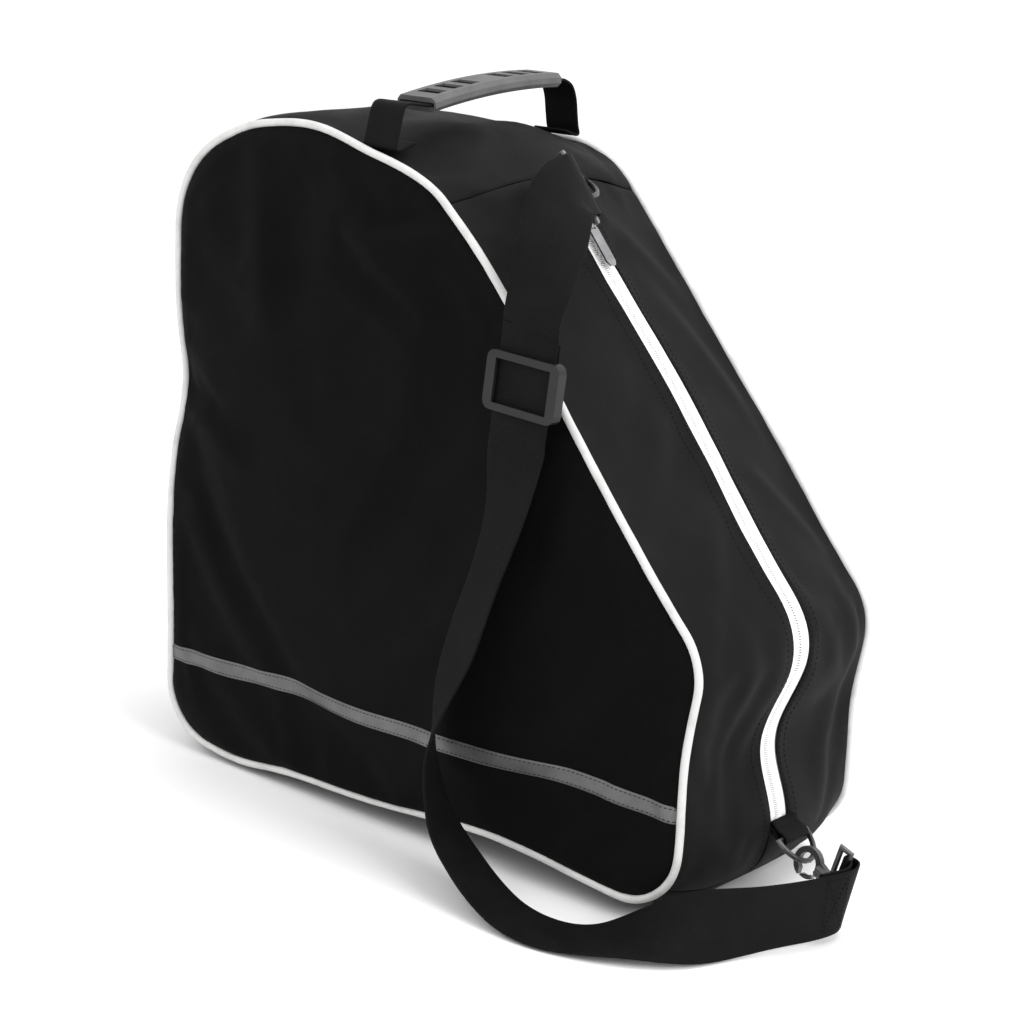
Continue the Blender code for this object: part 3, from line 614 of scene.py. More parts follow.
def vinyl(name, base):
    """Smooth coated piping: satin vinyl with faint wrinkles and grubby patches."""
    s = Shader(name)
    uv = s.cloth_uv()
    place = s.place()
    grime = s.noise(place, 70, 5, 0.65)
    s.link(s.ramp(grime, (0.28, scaled(base, 0.80)), (0.52, base)), s.out.inputs["Base Color"])
    wrinkle = s.noise(s.stretched(uv, (1, 0.25, 1)), 650, 3, 0.6)
    s.bump_chain(((grime, 0.0002), (wrinkle, 0.00005)))
    s.put("Roughness", 0.42)
    s.put("Specular IOR Level", 0.4)
    return s.material


# Painted light: the side panels and the gusset are one black cloth. The gusset's copy is made about twice as
# light, with more shine, to stand in for the brighter light on it. The panels' copy is darker as painted
# shade.
M_PANEL_PAINTED_DARKER = fabric("panel_black_painted_darker", (0.0032, 0.0032, 0.0034, 1))
M_GUSSET_PAINTED_LIGHTER = fabric("gusset_black_painted_lighter", (0.0062, 0.0062, 0.0064, 1), shine=0.08)
M_WEB = webbing("webbing_black", (0.0048, 0.0048, 0.0050, 1))
M_PIPING = vinyl("piping_white", (0.56, 0.56, 0.55, 1))
M_ZIP_TAPE = fabric("zip_tape_white", (0.80, 0.80, 0.79, 1), 0.0005, 0.00005, 0.04, (0.6, 0.8), 0.0, 0)
M_ZIP_COIL = plastic("zip_coil_white", (0.84, 0.84, 0.83, 1), (0.28, 0.45), 0.00001, 1500, 0.05)
M_GRIP = plastic("grip_rubber", (0.085, 0.085, 0.086, 1), (0.48, 0.66), 0.00006, 1100, 0.6)
M_PLASTIC = plastic("buckle_plastic", (0.010, 0.010, 0.0102, 1), (0.30, 0.48), 0.00004, 1000, 0.5)
M_BLACK_METAL = metal("hook_black", (0.012, 0.012, 0.0125, 1), (0.25, 0.45), 0.35, (0.25, 0.25, 0.25, 1))
M_STEEL = metal("zinc", (0.33, 0.33, 0.34, 1), (0.2, 0.4), 1.0)
M_THREAD = webbing("thread_black", (0.0065, 0.0065, 0.0068, 1), 0.0006, 0.0004, 0.00005, 0.0)
M_BOARD = fabric("lining_grey", (0.05, 0.05, 0.052, 1), 0.0006, 0.0001, 0.4, (0.7, 0.9), 0.1, 0)


def reflective_material():
    """Retroreflective tape: tiny glass beads in a grey film, with an embossed diamond lattice."""
    s = Shader("reflective_grey")
    uv = s.cloth_uv()
    split = s.node("ShaderNodeSeparateXYZ")
    s.link(uv, split.inputs[0])
    turn = math.pi / 0.0016
    plus = s.math("MULTIPLY", s.math("ADD", split.outputs[0], split.outputs[1]), turn)
    minus = s.math("MULTIPLY", s.math("SUBTRACT", split.outputs[0], split.outputs[1]), turn)
    lattice = s.math("MULTIPLY", s.math("SINE", plus), s.math("SINE", minus))
    cells = s.math("ABSOLUTE", lattice)
    beads = s.noise(uv, 4200, 2, 0.7)
    blotch = s.noise(s.place(), 55, 4, 0.6)
    value = s.math("ADD", s.math("MULTIPLY", beads, 0.45), s.math("MULTIPLY", blotch, 0.55))
    s.link(s.ramp(value, (0.33, grey(0.060)), (0.66, grey(0.130))), s.out.inputs["Base Color"])
    s.put("Roughness", 0.38)
    s.put("Metallic", 0.15)
    s.bump_chain(((blotch, 0.0003), (cells, 0.00006), (beads, 0.00002)))
    return s.material


M_REFLECTIVE = reflective_material()


def finish_piece(obj, material, body, slot, *nodes):
    obj.data.materials.clear()
    obj.data.materials.append(material)
    if body:
        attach(obj, body)
    if nodes:
        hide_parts(*nodes)
    return obj


# ---------------------------------------------------------------- side panels

# Soft folds seen on the side panels, as (start, end) in (x, z), width and height.
PANEL_FOLDS = (
    ((-0.078, 0.382), (0.022, 0.283), 0.0085, 0.0030),
    ((-0.100, 0.375), (-0.015, 0.322), 0.0070, 0.0022),
    ((-0.060, 0.352), (0.028, 0.356), 0.0050, 0.0020),
    ((-0.072, 0.318), (0.006, 0.282), 0.0080, 0.0022),
    ((-0.040, 0.360), (0.050, 0.300), 0.0060, 0.0014),
    ((-0.130, 0.372), (-0.120, 0.270), 0.0120, 0.0018),
    ((-0.190, 0.240), (-0.110, 0.262), 0.0110, 0.0022),
    ((-0.188, 0.222), (-0.120, 0.190), 0.0100, 0.0016),
    ((0.060, 0.270), (0.130, 0.160), 0.0140, 0.0014),
    ((0.165, 0.140), (0.100, 0.085), 0.0120, 0.0012),
    ((-0.160, 0.120), (-0.100, 0.070), 0.0130, 0.0013),
    ((0.020, 0.030), (0.060, 0.100), 0.0150, 0.0012),
)


FOLD_DEPTH = 1.35


def edge_distance(points):
    """Distance of (x, z) points inside the outline."""
    starts = OUTLINE[:-1]
    runs = OUTLINE[1:] - starts
    size = (runs**2).sum(axis=1)
    found = np.full(len(points), 1e9)
    for a, run, square in zip(starts, runs, size):
        if square < 1e-12:
            continue
        t = np.clip(((points - a) @ run) / square, 0, 1)
        found = np.minimum(found, np.linalg.norm(points - a - t[:, None] * run, axis=1))
    return found


def panel_height(xz, side):
    """How far the panel stands out at each point: its fill, its folds and the puckers by the piping."""
    distance = edge_distance(xz)
    x, z = xz[:, 0], xz[:, 1]
    full = 1 - np.exp(-distance / 0.030)
    height = 0.0030 * full
    height = height + 0.0012 * full * soft_noise(np.c_[xz * (9, 11), np.full(len(xz), side)], 1.0, 3 + side)
    height = height + 0.0006 * full * soft_noise(np.c_[xz * (26, 22), np.full(len(xz), side)], 1.0, 9 + side)
    mirror = 1.0 if side < 0 else 0.8
    for number, (start, end, width, size) in enumerate(PANEL_FOLDS):
        shift = 0.0 if side < 0 else 0.011 * math.sin(number * 2.4)
        a = (start[0] + shift, start[1] - shift * 0.4)
        b = (end[0] + shift, end[1] - shift * 0.4)
        inside = smooth_step(distance, 0.001, 0.016)
        height = height + FOLD_DEPTH * mirror * crease(x, z, a, b, width, size) * inside
    ripple = soft_noise(np.c_[xz * 75, np.full(len(xz), side * 3)], 1.0, 21)
    height = height + 0.0009 * ripple * bump(distance, 0.007, 0.008)
    return height


def panel_mesh(name, side):
    """A side panel as a flat triangle mesh, filled out and slumped, and the points of its sewn rim."""
    inset = 0.0012
    s = np.arange(0, PERIMETER, GRID * 0.9)
    point, normal = at_length(s)
    border = point - normal * inset
    xs = np.arange(-0.22, 0.22, GRID)
    zs = np.arange(0.0, 0.42, GRID * math.sqrt(3) / 2)
    inner = np.array([(x + (GRID / 2 if j % 2 else 0), z) for j, z in enumerate(zs) for x in xs])
    inside = inner[winding_inside(inner, border)]
    inside = inside[edge_distance(inside) > inset + GRID * 0.62]
    flat = np.vstack((border, inside))
    count = len(border)
    edges = [(i, (i + 1) % count) for i in range(count)]
    made = delaunay_2d_cdt([Vector(p) for p in flat], edges, [tuple(range(count))], 1, 1e-6)
    flat = np.array([tuple(p) for p in made[0]])
    faces = [tuple(f) for f in made[2]]
    if side < 0:
        faces = [f[::-1] for f in faces]
    out = HALF + PANEL_OUT * smooth_step(edge_distance(flat), 0, 0.004) + panel_height(flat, side)
    obj = new_mesh(name, sag(np.c_[flat[:, 0], side * out, flat[:, 1]]), faces)
    turn_out(obj, (0, side, 0))
    set_uv(obj, flat)
    return obj, np.nonzero(edge_distance(flat) < inset + 0.0006)[0]


def winding_inside(points, border):
    """Which points are inside a closed polygon."""
    inside = np.zeros(len(points), bool)
    x, z = points[:, 0], points[:, 1]
    for a, b in zip(border, np.roll(border, -1, axis=0)):
        crosses = (a[1] > z) != (b[1] > z)
        with np.errstate(divide="ignore", invalid="ignore"):
            at = (b[0] - a[0]) * (z - a[1]) / (b[1] - a[1]) + a[0]
        inside ^= crosses & (x < at)
    return inside


def turn_out(obj, direction):
    """Makes an open sheet's faces point this way."""
    normal = sum((f.normal * f.area for f in obj.data.polygons), Vector())
    if normal.dot(Vector(direction)) < 0:
        obj.data.flip_normals()


def surface_of(obj):
    graph = bpy.context.evaluated_depsgraph_get()
    return BVHTree.FromObject(obj, graph)


PANELS = {}
for SIDE, LABEL in SIDES:
    panel, rim = panel_mesh(f"side_cloth_{LABEL}", SIDE)
    drape(panel, rim, 0.010, 0.35, 2.2, 0.0035)
    PANELS[SIDE] = panel
    thicken(panel, 0.0026)
    finish_piece(panel, M_PANEL_PAINTED_DARKER, "bag", "black_fabric", f"side_panel_{LABEL}", f"side_padding_{LABEL}")

# ---------------------------------------------------------------- gusset

GUSSET_EDGE = HALF - 0.0010
GUSSET_FOLD_DEPTH = 1.25


def crown_at(y, normal_z):
    """Rise of the gusset at y, flat in the middle where it faces the floor."""
    share = (y / HALF) ** 2
    round_top = CROWN * (1 - share)
    flat = CROWN * np.minimum(1, (1 - share) / (1 - BASE_FLAT**2))
    down = smooth_step(-normal_z, 0.35, 0.95)
    return round_top * (1 - down) + flat * down


def seam_puff(point, normal, y):
    """The cloth swells out right beside the piping, round the bag's back and heel end of its top."""
    inside = GUSSET_EDGE - np.abs(y)
    swell = (1 - np.exp(-np.maximum(inside, 0) / 0.0028)) * np.exp(-np.maximum(inside, 0) / 0.050)
    where = smooth_step(-point[..., 0], 0.085, 0.125) * (1 - smooth_step(-normal[..., 1], 0.05, 0.60))
    return 0.0068 * swell * where


def gusset_points(s, y, lift):
    point, normal = at_length(s)
    rise = crown_at(y, normal[:, 1]) + lift + seam_puff(point, normal, y)
    at = point + normal * rise[:, None]
    return sag(np.c_[at[:, 0], y, at[:, 1]])


def gusset_relief(s, y, folds, seed, amount):
    """Folds and soft undulation of a gusset strip, in (distance, y)."""
    point, normal = at_length(s)
    edge = smooth_step(HALF - np.abs(y), 0.001, 0.018)
    floor = 1 - smooth_step(-normal[:, 1], 0.5, 0.95)
    place = np.c_[s, y, np.full(len(s), seed)]
    height = amount * 0.0011 * edge * soft_noise(place * (16, 22, 1), 1.0, seed)
    height = height + amount * 0.0005 * edge * soft_noise(place * (46, 52, 1), 1.0, seed + 5)
    for start, end, width, size in folds:
        height = height + GUSSET_FOLD_DEPTH * crease(s, y, start, end, width, size) * edge
    ripple = soft_noise(place * (70, 60, 1), 1.0, seed + 11)
    height = height + 0.0008 * ripple * bump(HALF - np.abs(y), 0.008, 0.008)
    return height * floor


def seam_dip(s, seams):
    """The cloth turns in along a cross seam."""
    dip = np.zeros(len(s))
    for seam in seams:
        dip = dip - 0.0011 * bump(s, seam, 0.0016)
    return dip


def strip(name, s_range, y_range, folds, seed, amount, seams, fold_edge=None, fine_edges=False):
    """A strip of the gusset between two distances round the outline, and the points of its sewn edges."""
    rows = max(2, round((s_range[1] - s_range[0]) / GRID))
    columns = max(3, round((y_range[1] - y_range[0]) / GRID)) + 1
    s_line = np.linspace(*s_range, rows + 1)
    y_line = np.linspace(*y_range, columns)
    if fine_edges:
        close = np.array((0.0015, 0.0036)) - GUSSET_EDGE
        y_line = np.sort(np.r_[y_line, close, -close])
        columns = len(y_line)
    s_all, y_all = (a.ravel() for a in np.meshgrid(s_line, y_line, indexing="ij"))
    lift = gusset_relief(s_all, y_all, folds, seed, amount) + seam_dip(s_all, seams)
    if fold_edge is not None:
        lift = lift + 0.0004 * bump(np.abs(y_all), fold_edge + 0.003, 0.0025)
    obj = new_mesh(name, gusset_points(s_all, y_all, lift), grid_faces(rows + 1, columns))
    point, normal = at_length((s_range[0] + s_range[1]) / 2)
    turn_out(obj, (normal[0], 0, normal[1]))
    set_uv(obj, np.c_[s_all, y_all])
    index = np.arange((rows + 1) * columns).reshape(rows + 1, columns)
    return obj, np.unique(np.concatenate((index[0], index[-1], index[:, 0], index[:, -1])))


BACK = PERIMETER + HEEL_SEAM
MIDDLE_BACK = TOP_SEAM + (BACK - TOP_SEAM) * 0.62
TOP_FOLDS = (
    ((TOP_SEAM + 0.010, -0.070), (TOP_SEAM + 0.048, -0.015), 0.0060, 0.0018),
    ((TOP_SEAM + 0.030, 0.075), (TOP_SEAM + 0.062, 0.010), 0.0060, 0.0018),
    ((TOP_SEAM + 0.100, -0.070), (TOP_SEAM + 0.150, 0.030), 0.0110, 0.0020),
    ((TOP_SEAM + 0.180, 0.070), (TOP_SEAM + 0.230, -0.020), 0.0120, 0.0018),
    ((MIDDLE_BACK - 0.060, -0.075), (MIDDLE_BACK - 0.010, 0.060), 0.0120, 0.0032),
    ((MIDDLE_BACK + 0.012, 0.078), (MIDDLE_BACK + 0.030, -0.070), 0.0100, 0.0026),
    ((MIDDLE_BACK + 0.080, -0.050), (MIDDLE_BACK + 0.190, -0.040), 0.0110, 0.0018),
    ((MIDDLE_BACK - 0.140, 0.040), (MIDDLE_BACK - 0.020, 0.045), 0.0120, 0.0017),
)
FRONT_RIGHT_FOLDS = (
    ((TOE_SEAM + 0.040, -0.060), (TOE_SEAM + 0.150, -0.050), 0.0080, 0.0022),
    ((TOE_SEAM + 0.060, -0.035), (TOE_SEAM + 0.140, -0.022), 0.0060, 0.0014),
    ((SLOPE_FOOT - 0.010, -0.080), (SLOPE_FOOT + 0.060, -0.020), 0.0080, 0.0026),
    ((SLOPE_FOOT + 0.060, -0.082), (SLOPE_FOOT + 0.120, -0.022), 0.0070, 0.0024),
    ((SLOPE_FOOT + 0.110, -0.080), (SLOPE_FOOT + 0.155, -0.030), 0.0060, 0.0020),
    ((SLOPE_FOOT + 0.180, -0.080), (SLOPE_FOOT + 0.240, -0.030), 0.0080, 0.0016),
)
FRONT_LEFT_FOLDS = (
    ((TOE_SEAM + 0.030, 0.050), (TOE_SEAM + 0.160, 0.062), 0.0080, 0.0024),
    ((TOE_SEAM + 0.050, 0.075), (TOE_SEAM + 0.130, 0.030), 0.0060, 0.0014),
    ((SLOPE_FOOT + 0.010, 0.080), (SLOPE_FOOT + 0.080, 0.030), 0.0080, 0.0020),
    ((SLOPE_FOOT + 0.090, 0.075), (SLOPE_FOOT + 0.200, 0.035), 0.0100, 0.0020),
    ((SLOPE_FOOT + 0.190, 0.080), (SLOPE_FOOT + 0.250, 0.025), 0.0080, 0.0016),
)
FULL_WIDTH = (-GUSSET_EDGE, GUSSET_EDGE)
top_back, held = strip(
    "top_back_cloth", (TOP_SEAM - 0.0003, BACK), FULL_WIDTH, TOP_FOLDS, 31, 1.1, (TOP_SEAM, BACK),
    fine_edges=True,
)
drape(top_back, held, 0.008, 0.30, 2.2, 0.0030)
thicken(top_back, 0.0020)
finish_piece(top_back, M_GUSSET_PAINTED_LIGHTER, "bag", "black_fabric", "top_back_gusset")

base, _ = strip("base_cloth", (HEEL_SEAM, TOE_SEAM), FULL_WIDTH, (), 37, 0.6, (HEEL_SEAM, TOE_SEAM))
thicken(base, 0.0020)
finish_piece(base, M_GUSSET_PAINTED_LIGHTER, "bag", "black_fabric", "base_gusset")

FRONT = {}
for SIDE, LABEL, FOLDS in ((-1, "right", FRONT_RIGHT_FOLDS), (1, "left", FRONT_LEFT_FOLDS)):
    half_width = sorted((SIDE * ZIP_HALF, SIDE * GUSSET_EDGE))
    front, held = strip(
        f"front_cloth_{LABEL}", (TOE_SEAM, TOP_SEAM + 0.0003), half_width, FOLDS, 41 + SIDE, 1.0,
        (TOE_SEAM, TOP_SEAM), fold_edge=ZIP_HALF + 0.001,
    )
    drape(front, held, 0.010, 0.30, 2.0, 0.0030)
    FRONT[SIDE] = front
    thicken(front, 0.0020)
    finish_piece(front, M_GUSSET_PAINTED_LIGHTER, "bag", "black_fabric", f"front_gusset_{LABEL}")

# ---------------------------------------------------------------- piping and tapes

def side_noise(point, scale, side, seed):
    return soft_noise(np.c_[point * scale, np.full(len(point), side)], 1.0, seed)


def make_piping(side, label):
    point, normal = at_length(np.arange(0, PERIMETER, 0.0035))
    wander = 0.0002 * side_noise(point, 55, side, 51) + 0.0006 * side_noise(point, 14, side, 57)
    at = point + normal * wander[:, None]
    path = sag(np.c_[at[:, 0], np.full(len(at), side * (HALF + 0.0003)), at[:, 1]])
    cord = closed_cord(f"piping_cord_{label}", path, PIPING_R * (1 + 0.05 * side_noise(point, 90, side, 63)))
    finish_piece(cord, M_PIPING, "bag", "piping", f"piping_{label}")


def make_tape(side, label):
    """The reflective tape, laid on the panel's finished cloth, and its two rows of stitches."""
    surface = surface_of(PANELS[side])
    xs = np.arange(-0.1895, 0.2005, 0.0028)
    drift = 0.0016 * np.sin(xs * 16 + 0.6 * side) + 0.0005 * np.sin(xs * 61)
    tilt = np.interp(xs, (-0.19, -0.10, 0.10, 0.20), (-0.006, 0.0, 0.001, 0.002))
    rows = np.linspace(-0.5, 0.5, 7) * TAPE_WIDTH
    points = []
    stitch_lines = []
    for row in rows:
        line = []
        for x, rise in zip(xs, drift + tilt):
            z = TAPE_Z + row + rise
            hit, _, _, _ = surface.ray_cast(Vector((x, side * 0.2, z)), Vector((0, -side, 0)))
            y = hit.y if hit else side * HALF
            curl = 0.0006 if abs(row) < TAPE_WIDTH * 0.45 else 0.0003
            line.append((x, y + side * curl, z))
        points += line
        if row in (rows[1], rows[-2]):
            stitch_lines.append((np.array(line), np.tile((0.0, side, 0.0), (len(line), 1))))
    tape = new_mesh(f"tape_film_{label}", points, grid_faces(len(rows), len(xs)))
    turn_out(tape, (0, side, 0))
    set_uv(tape, [(p[0], p[2]) for p in points])
    thicken(tape, 0.0006)
    finish_piece(tape, M_REFLECTIVE, "bag", "reflective_tape", f"reflective_tape_{label}")
    sewn = stitches(f"tape_stitches_{label}", stitch_lines, 0.0030, 0.0021, 0.00022, (0, 2))
    finish_piece(sewn, M_THREAD, "bag", "reflective_tape")


for SIDE, LABEL in SIDES:
    make_piping(SIDE, LABEL)
    make_tape(SIDE, LABEL)

# ---------------------------------------------------------------- zip

CHAIN_START = TOP_SEAM - 0.012
CHAIN_END = MARKS[(1, "end")] - 0.006
TOOTH_PITCH = 0.00125
# Across the zip tape: where its rows run, and how deep it lies below the gusset's surface.
TAPE_ROWS = np.array((0.0003, 0.0020, 0.0040, 0.0058, 0.0066, 0.0074, 0.0086, 0.0110))
TAPE_DEPTH = ((0.0010, 0.0035, 0.0058, 0.0074, 0.0086), (-0.0019, -0.0016, -0.0016, -0.0012, -0.0020))
# The rings of one tooth, from its tip to its root.
TOOTH_REACH = np.array((-0.0007, 0.0001, 0.0014, 0.0028, 0.0034))
TOOTH_RADIUS = np.array((0.00042, 0.00056, 0.00050, 0.00046, 0.00030))
TOOTH_RISE = np.array((-0.0013, -0.0011, -0.0011, -0.0013, -0.0019))


def make_zip_tape(side, label):
    along = np.arange(CHAIN_END, CHAIN_START, 0.004)
    s_all, y_all = (a.ravel() for a in np.meshgrid(along, TAPE_ROWS * side, indexing="ij"))
    lift = np.interp(np.abs(y_all), *TAPE_DEPTH)
    lift = lift + 0.0002 * soft_noise(np.c_[s_all * 60, y_all * 60, y_all], 1.0, 71)
    points = gusset_points(s_all, y_all, lift)
    tape = new_mesh(f"zip_tape_{label}", points, grid_faces(len(along), len(TAPE_ROWS)))
    turn_out(tape, (1, 0, 0.3))
    set_uv(tape, np.c_[s_all, y_all])
    thicken(tape, 0.0007)
    finish_piece(tape, M_ZIP_TAPE, "bag", "zipper_white", f"zipper_tape_{label}")


def make_zip_teeth(side, label):
    points = []
    faces = []
    offset = 0.0 if side < 0 else TOOTH_PITCH / 2
    for s in np.arange(CHAIN_END + offset, CHAIN_START, TOOTH_PITCH):
        _, (nx, nz) = at_length(s)
        centres = gusset_points(np.full(5, s), TOOTH_REACH * side, TOOTH_RISE)
        add_bead(points, faces, centres, TOOTH_RADIUS, np.array((nx, 0, nz)), np.array((-nz, 0, nx)), 1.15)
    coil = new_mesh(f"zip_coil_{label}", points, faces)
    recalculate_normals(coil)
    finish_piece(coil, M_ZIP_COIL, "bag", "zipper_white", f"zipper_coil_{label}")


def make_zip_stitches(side, label):
    """Two rows of stitches beside the zip, laid on the finished cloth."""
    surface = surface_of(FRONT[side])
    spots = np.arange(TOE_SEAM + 0.006, TOP_SEAM - 0.004, 0.004)
    _, normal = at_length(spots)
    out = np.c_[normal[:, 0], np.zeros(len(spots)), normal[:, 1]]
    lines = []
    for y in (ZIP_HALF + 0.0022, ZIP_HALF + 0.0080):
        line = []
        for guess, n in zip(gusset_points(spots, np.full(len(spots), side * y), np.zeros(len(spots))), out):
            hit, _, _, _ = surface.ray_cast(Vector(guess + n * 0.02), Vector(-n))
            line.append(tuple(hit) if hit else tuple(guess))
        lines.append((np.array(line), out))
    sewn = stitches(f"zip_stitches_{label}", lines, 0.0032, 0.0023, 0.00024, (0, 2))
    finish_piece(sewn, M_THREAD, "bag", "black_fabric")


for SIDE, LABEL in SIDES:
    make_zip_tape(SIDE, LABEL)
    make_zip_teeth(SIDE, LABEL)
    make_zip_stitches(SIDE, LABEL)

# The cloth that closes the gap between the zip's lower end and the toe seam.
zip_end, _ = strip(
    "zip_end_cloth", (TOE_SEAM, MARKS[(1, "end")] - 0.0015), (-0.0125, 0.0125), (), 47, 0.0, (TOE_SEAM,)
)
for vertex in zip_end.data.vertices:
    vertex.co += Vector((0.0010, 0, 0))
thicken(zip_end, 0.0016)
finish_piece(zip_end, M_GUSSET_PAINTED_LIGHTER, "bag", "black_fabric")

# ---------------------------------------------------------------- ribbons

WEBBING = 0.0016
GAP = 0.0003
WIRE_R = 0.0016
FOLD = 2 * (WIRE_R + GAP) + WEBBING
LAYERS = WEBBING + 2 * GAP


def ribbon(name, rows, half_width, columns=9):
    """Webbing with rounded woven edges, through (point, width, normal) rows."""
    points, widths, normals = (np.array([tuple(row[k]) for row in rows]) for k in range(3))
    half = WEBBING / 2
    across = np.linspace(-1, 1, columns)
    upper = [(c * (half_width - half), half) for c in across]
    right = [(half_width - half * 0.3, half * 0.7), (half_width, 0), (half_width - half * 0.3, -half * 0.7)]
    lower = [(x, -h) for x, h in reversed(upper)]
    left = [(-x, -h) for x, h in right]
    profile = np.array(upper + right + lower + left)
    rings = points[:, None] + widths[:, None] * profile[None, :, :1] + normals[:, None] * profile[None, :, 1:]
    count = len(profile)
    faces = grid_faces(len(points), count, closed=True)
    faces.append(tuple(range(count))[::-1])
    faces.append(tuple(range((len(points) - 1) * count, len(points) * count)))
    obj = new_mesh(name, rings.reshape(-1, 3), faces)
    set_uv(obj, uv_grid(run_lengths(points), profile[:, 0]))
    recalculate_normals(obj)
    return obj


def spline(keys, step):
    """(point, width) pairs at about this spacing along a Catmull-Rom curve through the keys."""
    found = []
    for i in range(len(keys) - 1):
        four = [keys[max(i - 1, 0)], keys[i], keys[i + 1], keys[min(i + 2, len(keys) - 1)]]
        count = max(1, math.ceil((keys[i + 1][0] - keys[i][0]).length / step))
        for j in range(count):
            t = j / count
            found.append(tuple(
                0.5
                * (2 * b + (c - a) * t + (2 * a - 5 * b + 4 * c - d) * t**2 + (3 * b - a - 3 * c + d) * t**3)
                for a, b, c, d in ([key[part] for key in four] for part in (0, 1))
            ))
    found.append(keys[-1])
    return found


def frames_of(route):
    """(point, tangent, width, normal) along a route of (point, width) pairs."""
    found = []
    for i, (point, width) in enumerate(route):
        tangent = (route[min(i + 1, len(route) - 1)][0] - route[max(i - 1, 0)][0]).normalized()
        square = (width - width.dot(tangent) * tangent).normalized()
        found.append((point, tangent, square, tangent.cross(square)))
    return found


def half_turn(centre, width, start, steps):
    """(point, width, normal) rows round a bar, from centre + start, turning about the width."""
    found = []
    for i in range(1, steps):
        turned = Matrix.Rotation(math.pi * i / steps, 3, width) @ start
        found.append((centre + turned, width, turned.normalized()))
    return found


def facing_turn(width, start, towards):
    quarter = Matrix.Rotation(math.pi / 2, 3, width) @ start
    return width if quarter.dot(towards) > 0 else -width


# ---------------------------------------------------------------- carry handle

HANDLE_X = -0.046
HANDLE_HALF = 0.0125  # half the width of its webbing
GRIP_Y = 0.058


def grip_z(y):
    share = (y + GRIP_Y) / (2 * GRIP_Y)
    return 0.420 + 0.017 * share + 0.003 * (1 - (y / GRIP_Y) ** 2)


def gusset_top(y):
    """Height of the top gusset by the handle."""
    return 0.402 + CROWN * (1 - (y / HALF) ** 2)


right_leg = [
    (-0.0700, gusset_top(0.0700) + 0.0013), (-0.0780, gusset_top(0.0780) + 0.0013),
    (-0.0842, gusset_top(0.0842) + 0.0015), (-0.0868, gusset_top(0.0868) + 0.0034),
    (-0.0862, 0.4098), (-0.0842, 0.4138), (-0.0822, 0.4176), (-0.0780, 0.4204), (-0.0670, 0.4200),
]
left_leg = [
    (0.0655, 0.4370), (0.0730, 0.4337), (0.0776, 0.4265), (0.0800, 0.4180), (0.0822, 0.4110),
    (0.0842, gusset_top(0.0842) + 0.0030), (0.0822, gusset_top(0.0822) + 0.0015),
    (0.0760, gusset_top(0.0760) + 0.0013), (0.0700, gusset_top(0.0700) + 0.0013),
]
inside = [(y, grip_z(y)) for y in np.linspace(-GRIP_Y, GRIP_Y, 9)]
keys = [(Vector((HANDLE_X, y, z)), Vector((1, 0, 0))) for y, z in right_leg + inside + left_leg]
strip_rows = []
for point, tangent, width, normal in frames_of(spline(keys, 0.0022)):
    near_bag = 1 - float(smooth_step(point.z, 0.4075, 0.4190))
    if near_bag > 0:
        shifted = sag(np.array([tuple(point)]))[0]
        point = point.lerp(Vector(shifted), near_bag)
    strip_rows.append((point, width, normal))
carry = ribbon("handle_strap", strip_rows, HANDLE_HALF)
finish_piece(
    carry, M_WEB, None, "black_webbing", "handle_webbing", "handle_anchor_right", "handle_anchor_left"
)
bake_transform(carry)

WINDOW_HALF = np.array((0.008, 0.00425))  # of each window through the grip's upper wall, in x and y
WINDOW_FIRST = 0.016  # from the grip's middle to the nearest window on each side
WINDOW_PITCH = 0.0145
LINER_CORNER = 0.0006


def make_window_shade_liners():
    """A thin dark rim inside each of the grip's six windows: painted shade on the window walls."""
    points = []
    faces = []
    for y in (sign * (WINDOW_FIRST + WINDOW_PITCH * number) for sign in (-1, 1) for number in range(3)):
        low, high = grip_z(y) + 0.0013, grip_z(y) + 0.0038
        first = len(points)
        for inset, z in ((0.00015, low), (0.00015, high), (0.0008, high), (0.0008, low)):
            x_half, y_half = WINDOW_HALF - inset
            for cx, cy in ((1, 1), (-1, 1), (-1, -1), (1, -1)):
                ends = [(x_half, y_half - LINER_CORNER), (x_half - LINER_CORNER, y_half)]
                for ex, ey in ends if cx * cy > 0 else reversed(ends):
                    points.append((HANDLE_X + cx * ex, y + cy * ey, z))
        for ring in range(4):
            a, b = first + ring * 8, first + (ring + 1) % 4 * 8
            for j in range(8):
                k = (j + 1) % 8
                faces.append((a + j, a + k, b + k, b + j))
    liners = new_mesh("grip_window_painted_shade", points, faces, smooth=False)
    set_uv(liners, [(p[0], p[1]) for p in points])
    finish_piece(liners, M_WEB, "handle", "black_webbing")


make_window_shade_liners()

# ---------------------------------------------------------------- tabs that hold the D-rings

UPPER_RING_DIRECTION = Vector((0.914, 0, -0.404)).normalized()
LOWER_RING_DIRECTION = Vector((0.75, 0, -0.66)).normalized()
TAB_LENGTH = 0.009
TAB_HALF = 0.012


